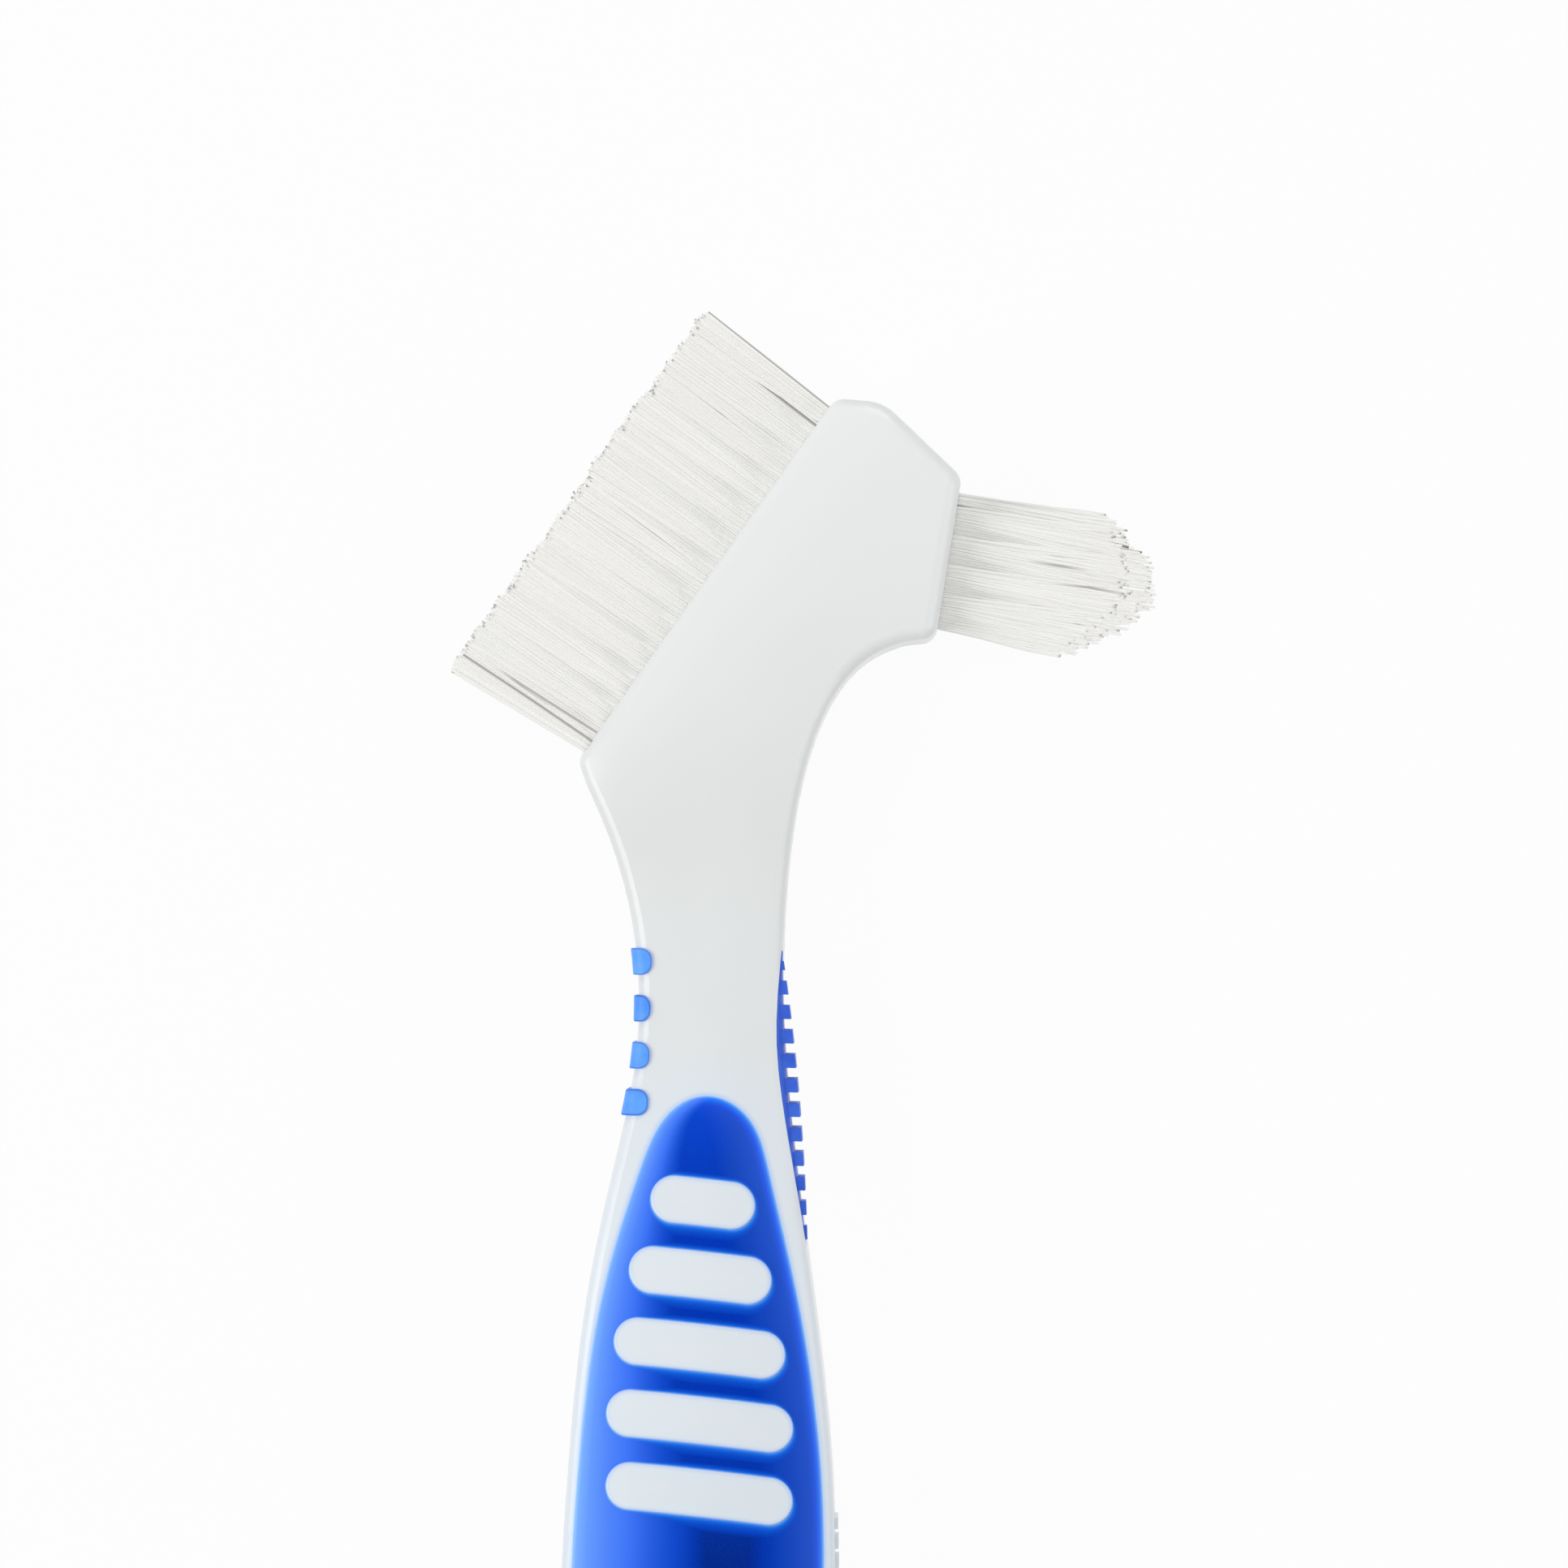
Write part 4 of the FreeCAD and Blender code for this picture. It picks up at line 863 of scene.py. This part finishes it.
def filament_shades(ring, style):
    """The shade of each point of a filament."""
    shares = filament_points[:, 2]
    shade = np.full(len(filament_points), random.uniform(*SHADES))
    if random.random() < style["streaks"]:
        centre, reach = random.uniform(*STREAK_PLACES), random.uniform(*STREAK_REACHES)
        depth = random.choice(STREAK_DEPTHS)
        shade = shade + depth * np.clip(1 - np.abs(shares - centre) / reach, 0, 1)
    if ring > RIM_START and random.random() < style["dark_rim"]:
        shade = shade - random.uniform(*RIM_DEPTHS)
    shade[shares > GLINT_START] += random.choice(TIP_GLINTS)
    return shade


def filament_copy(foot, frame_axes, length, hole_radius, tip_radius, slope, number, style):
    """The points of one bent copy of the filament, and the shade of each."""
    across, over, axis = frame_axes
    ring = math.sqrt((number + 0.5) / FILAMENTS_PER_TUFT)
    turn = number * SUNFLOWER_TURN
    direction = across * math.cos(turn) + over * math.sin(turn)
    sideways = (across * random.gauss(0, 1) + over * random.gauss(0, 1)) * style["stray"]
    cut = style["uneven"] * random.gauss(0, 1) - style["crown"] * ring**2
    cut += ring * tip_radius * float(direction @ slope)
    own_length = length - ANCHOR_TOP + cut + style["longer"]
    wave_turn, wave_phase = random.uniform(0, 2 * math.pi), random.uniform(0, 2 * math.pi)
    wave_way = across * math.cos(wave_turn) + over * math.sin(wave_turn)
    heights = ANCHOR_TOP + filament_points[:, 2:3] * own_length
    free = np.clip((heights - HOLE_DEPTH) / (length - HOLE_DEPTH), 0, None)
    spread = (hole_radius + (tip_radius - hole_radius) * free) * ring
    wave = style["wave"] * free * np.sin(free * style["waves"] * 2 * math.pi + wave_phase)
    points = foot + axis * heights + direction * spread + sideways * free**STRAY_BEND + wave_way * wave
    points = points + across * filament_points[:, 0:1] + over * filament_points[:, 1:2]
    return points, filament_shades(ring, style)


print(FILAMENTS_PER_TUFT, "filaments in a tuft")

# %% [markdown]
# ## A row of tufts
# All filaments of a row go into one mesh, because thousands of separate objects would be slow to handle.
# The first and the last tuft of a row stand against the white background, where clear nylon looks darker at
# its rim, so some of their outer filaments get painted shade.

# %% Filling a row
ROUND_ANGLE = math.radians(65)


def trimmed_slope(tufts, index, axis):
    """How the tips rise from one neighbour of a tuft to the other, along the way between them."""
    to_next = tufts[min(index + 1, len(tufts) - 1)][1] - tufts[max(index - 1, 0)][1]
    rise = to_next @ axis
    sideways = to_next - axis * rise
    return sideways * rise / (sideways @ sideways)


def brush_piece(node_name, piece_name, style):
    """A row of tufts, each filled with filaments."""
    points, faces, shades = [], [], []
    count = 0
    tufts = tufts_of(node_name)
    for index, (foot, tip, foot_radius, tip_radius) in enumerate(tufts):
        axis = (tip - foot) / np.linalg.norm(tip - foot)
        across = np.cross(axis, (0, 0, 1))
        across /= np.linalg.norm(across)
        frame_axes = (across, np.cross(axis, across), axis)
        length = np.linalg.norm(tip - foot) + style["trim"] * random.gauss(0, 1)
        slope = trimmed_slope(tufts, index, axis)
        own_style = dict(style, dark_rim=style["end_tufts_dark"] if index in (0, len(tufts) - 1) else 0)
        for number in range(FILAMENTS_PER_TUFT):
            placed, shade = filament_copy(
                foot, frame_axes, length, foot_radius - FILAMENT_RADIUS,
                tip_radius * style["fan"] - FILAMENT_RADIUS, slope, number, own_style,
            )
            points.append(placed)
            shades.append(shade)
            faces += [tuple(corner + count for corner in face) for face in filament_faces]
            count += len(placed)
    mesh = bpy.data.meshes.new(piece_name)
    mesh.from_pydata((np.concatenate(points) * MM).tolist(), [], faces)
    mesh.attributes.new("shade", "FLOAT", "POINT").data.foreach_set("value", np.concatenate(shades))
    piece = bpy.data.objects.new(piece_name, mesh)
    scene.collection.objects.link(piece)
    bpy.ops.object.select_all(action="DESELECT")
    piece.select_set(True)
    bpy.context.view_layer.objects.active = piece
    bpy.ops.object.shade_smooth_by_angle(angle=ROUND_ANGLE)
    print(piece.name, len(tufts), "tufts,", len(mesh.polygons), "faces")
    return piece


print("a filament has", len(filament_faces), "faces, a tuft", len(filament_faces) * FILAMENTS_PER_TUFT)

# %% [markdown]
# ## Nylon
# One filament is clear, but light is scattered between hundreds of them, so the brush looks nearly white.
# Rendered clear, so many thin filaments would need very many bounces and turn grey. So the nylon is opaque,
# and its shade picks a colour between the grey of a dark reflection and the white of a bright one.

# %% Clear nylon
NYLON_SHADES = ((0.0, (70, 68, 64)), (0.4, (186, 184, 179)), (0.62, (241, 240, 236)),
                (0.78, (249, 248, 244)), (1.0, (255, 254, 251)))
WARM_WHITE, WARM_SHARE, WARM_PATCHES_PER_MM = linear(250, 247, 240), 0.15, 0.5

nylon, tree, shader = finish("clear_nylon", 0.4)
shade_node = tree.nodes.new("ShaderNodeAttribute")
shade_node.attribute_name = "shade"
colour = colour_along(tree, shade_node.outputs["Fac"], NYLON_SHADES)
warmth = calculate(tree, "MULTIPLY", cloud(tree, WARM_PATCHES_PER_MM), WARM_SHARE)
put(tree, shader.inputs["Base Color"], blend_colours(tree, warmth, colour, WARM_WHITE))
shader.inputs["IOR"].default_value = 1.53
shader.inputs["Specular IOR Level"].default_value = 0.35
print(nylon.name, "has", len(NYLON_SHADES), "shades")

# %% [markdown]
# ## The two brushes
# The flat brush is new and neatly trimmed, with filaments that run straight and end almost in line. The
# small brush is looser: its filaments stray, wave and end unevenly under a dome. Both are described by the
# same few numbers, in millimetres or as shares. Stray and wave bend a filament, and waves says how often.
# Uneven, crown and longer change where it ends, trim varies whole tufts and fan widens their tips. Streaks
# and end_tufts_dark are shares of the filaments that look darker. Light falls deep into a real brush, so the
# filaments throw no bounced light, and only the lowest row throws a shadow.

# %% All eight rows
FLAT_STYLE = {"stray": 0.06, "uneven": 0.08, "crown": 0.5, "wave": 0.03, "waves": 0.8, "streaks": 0.04,
              "trim": 0.1, "fan": 1.12, "longer": 0.35, "end_tufts_dark": 0.35}
END_STYLE = {"stray": 0.2, "uneven": 0.3, "crown": 0.35, "wave": 0.16, "waves": 1.2, "streaks": 0.1,
             "trim": 0.15, "fan": 1.35, "longer": 0.2, "end_tufts_dark": 0.08}
ROWS = range(1, 5)
for kind, style in (("flat", FLAT_STYLE), ("end", END_STYLE)):
    for row in ROWS:
        piece = brush_piece(f"{kind}_brush_row_{row}", f"{kind}_filaments_row_{row}", style)
        wear(piece, nylon)
        hand_over(piece, f"{kind}_brush_row_{row}")
        piece.visible_shadow = row == 1
        piece.visible_diffuse = False

# %% [markdown]
# ## The plates in the holes
# Each tuft is folded over a thin metal plate at the bottom of its hole. None can be seen, so the packed
# plates stay as they are and only get a dull brass, whose colour varies a little as rolled sheet does.

# %% Dull brass
DARK_BRASS, PALE_BRASS, BRASS_PATCHES_PER_MM = linear(176, 148, 84), linear(198, 170, 104), 1.5
brass, tree, shader = finish("dull_brass", 0.35)
shader.inputs["Metallic"].default_value = 1.0
tint = blend_colours(tree, cloud(tree, BRASS_PATCHES_PER_MM), DARK_BRASS, PALE_BRASS)
put(tree, shader.inputs["Base Color"], tint)
for kind in ("flat", "end"):
    for row in ROWS:
        wear(nodes[f"{kind}_anchors_row_{row}"], brass)
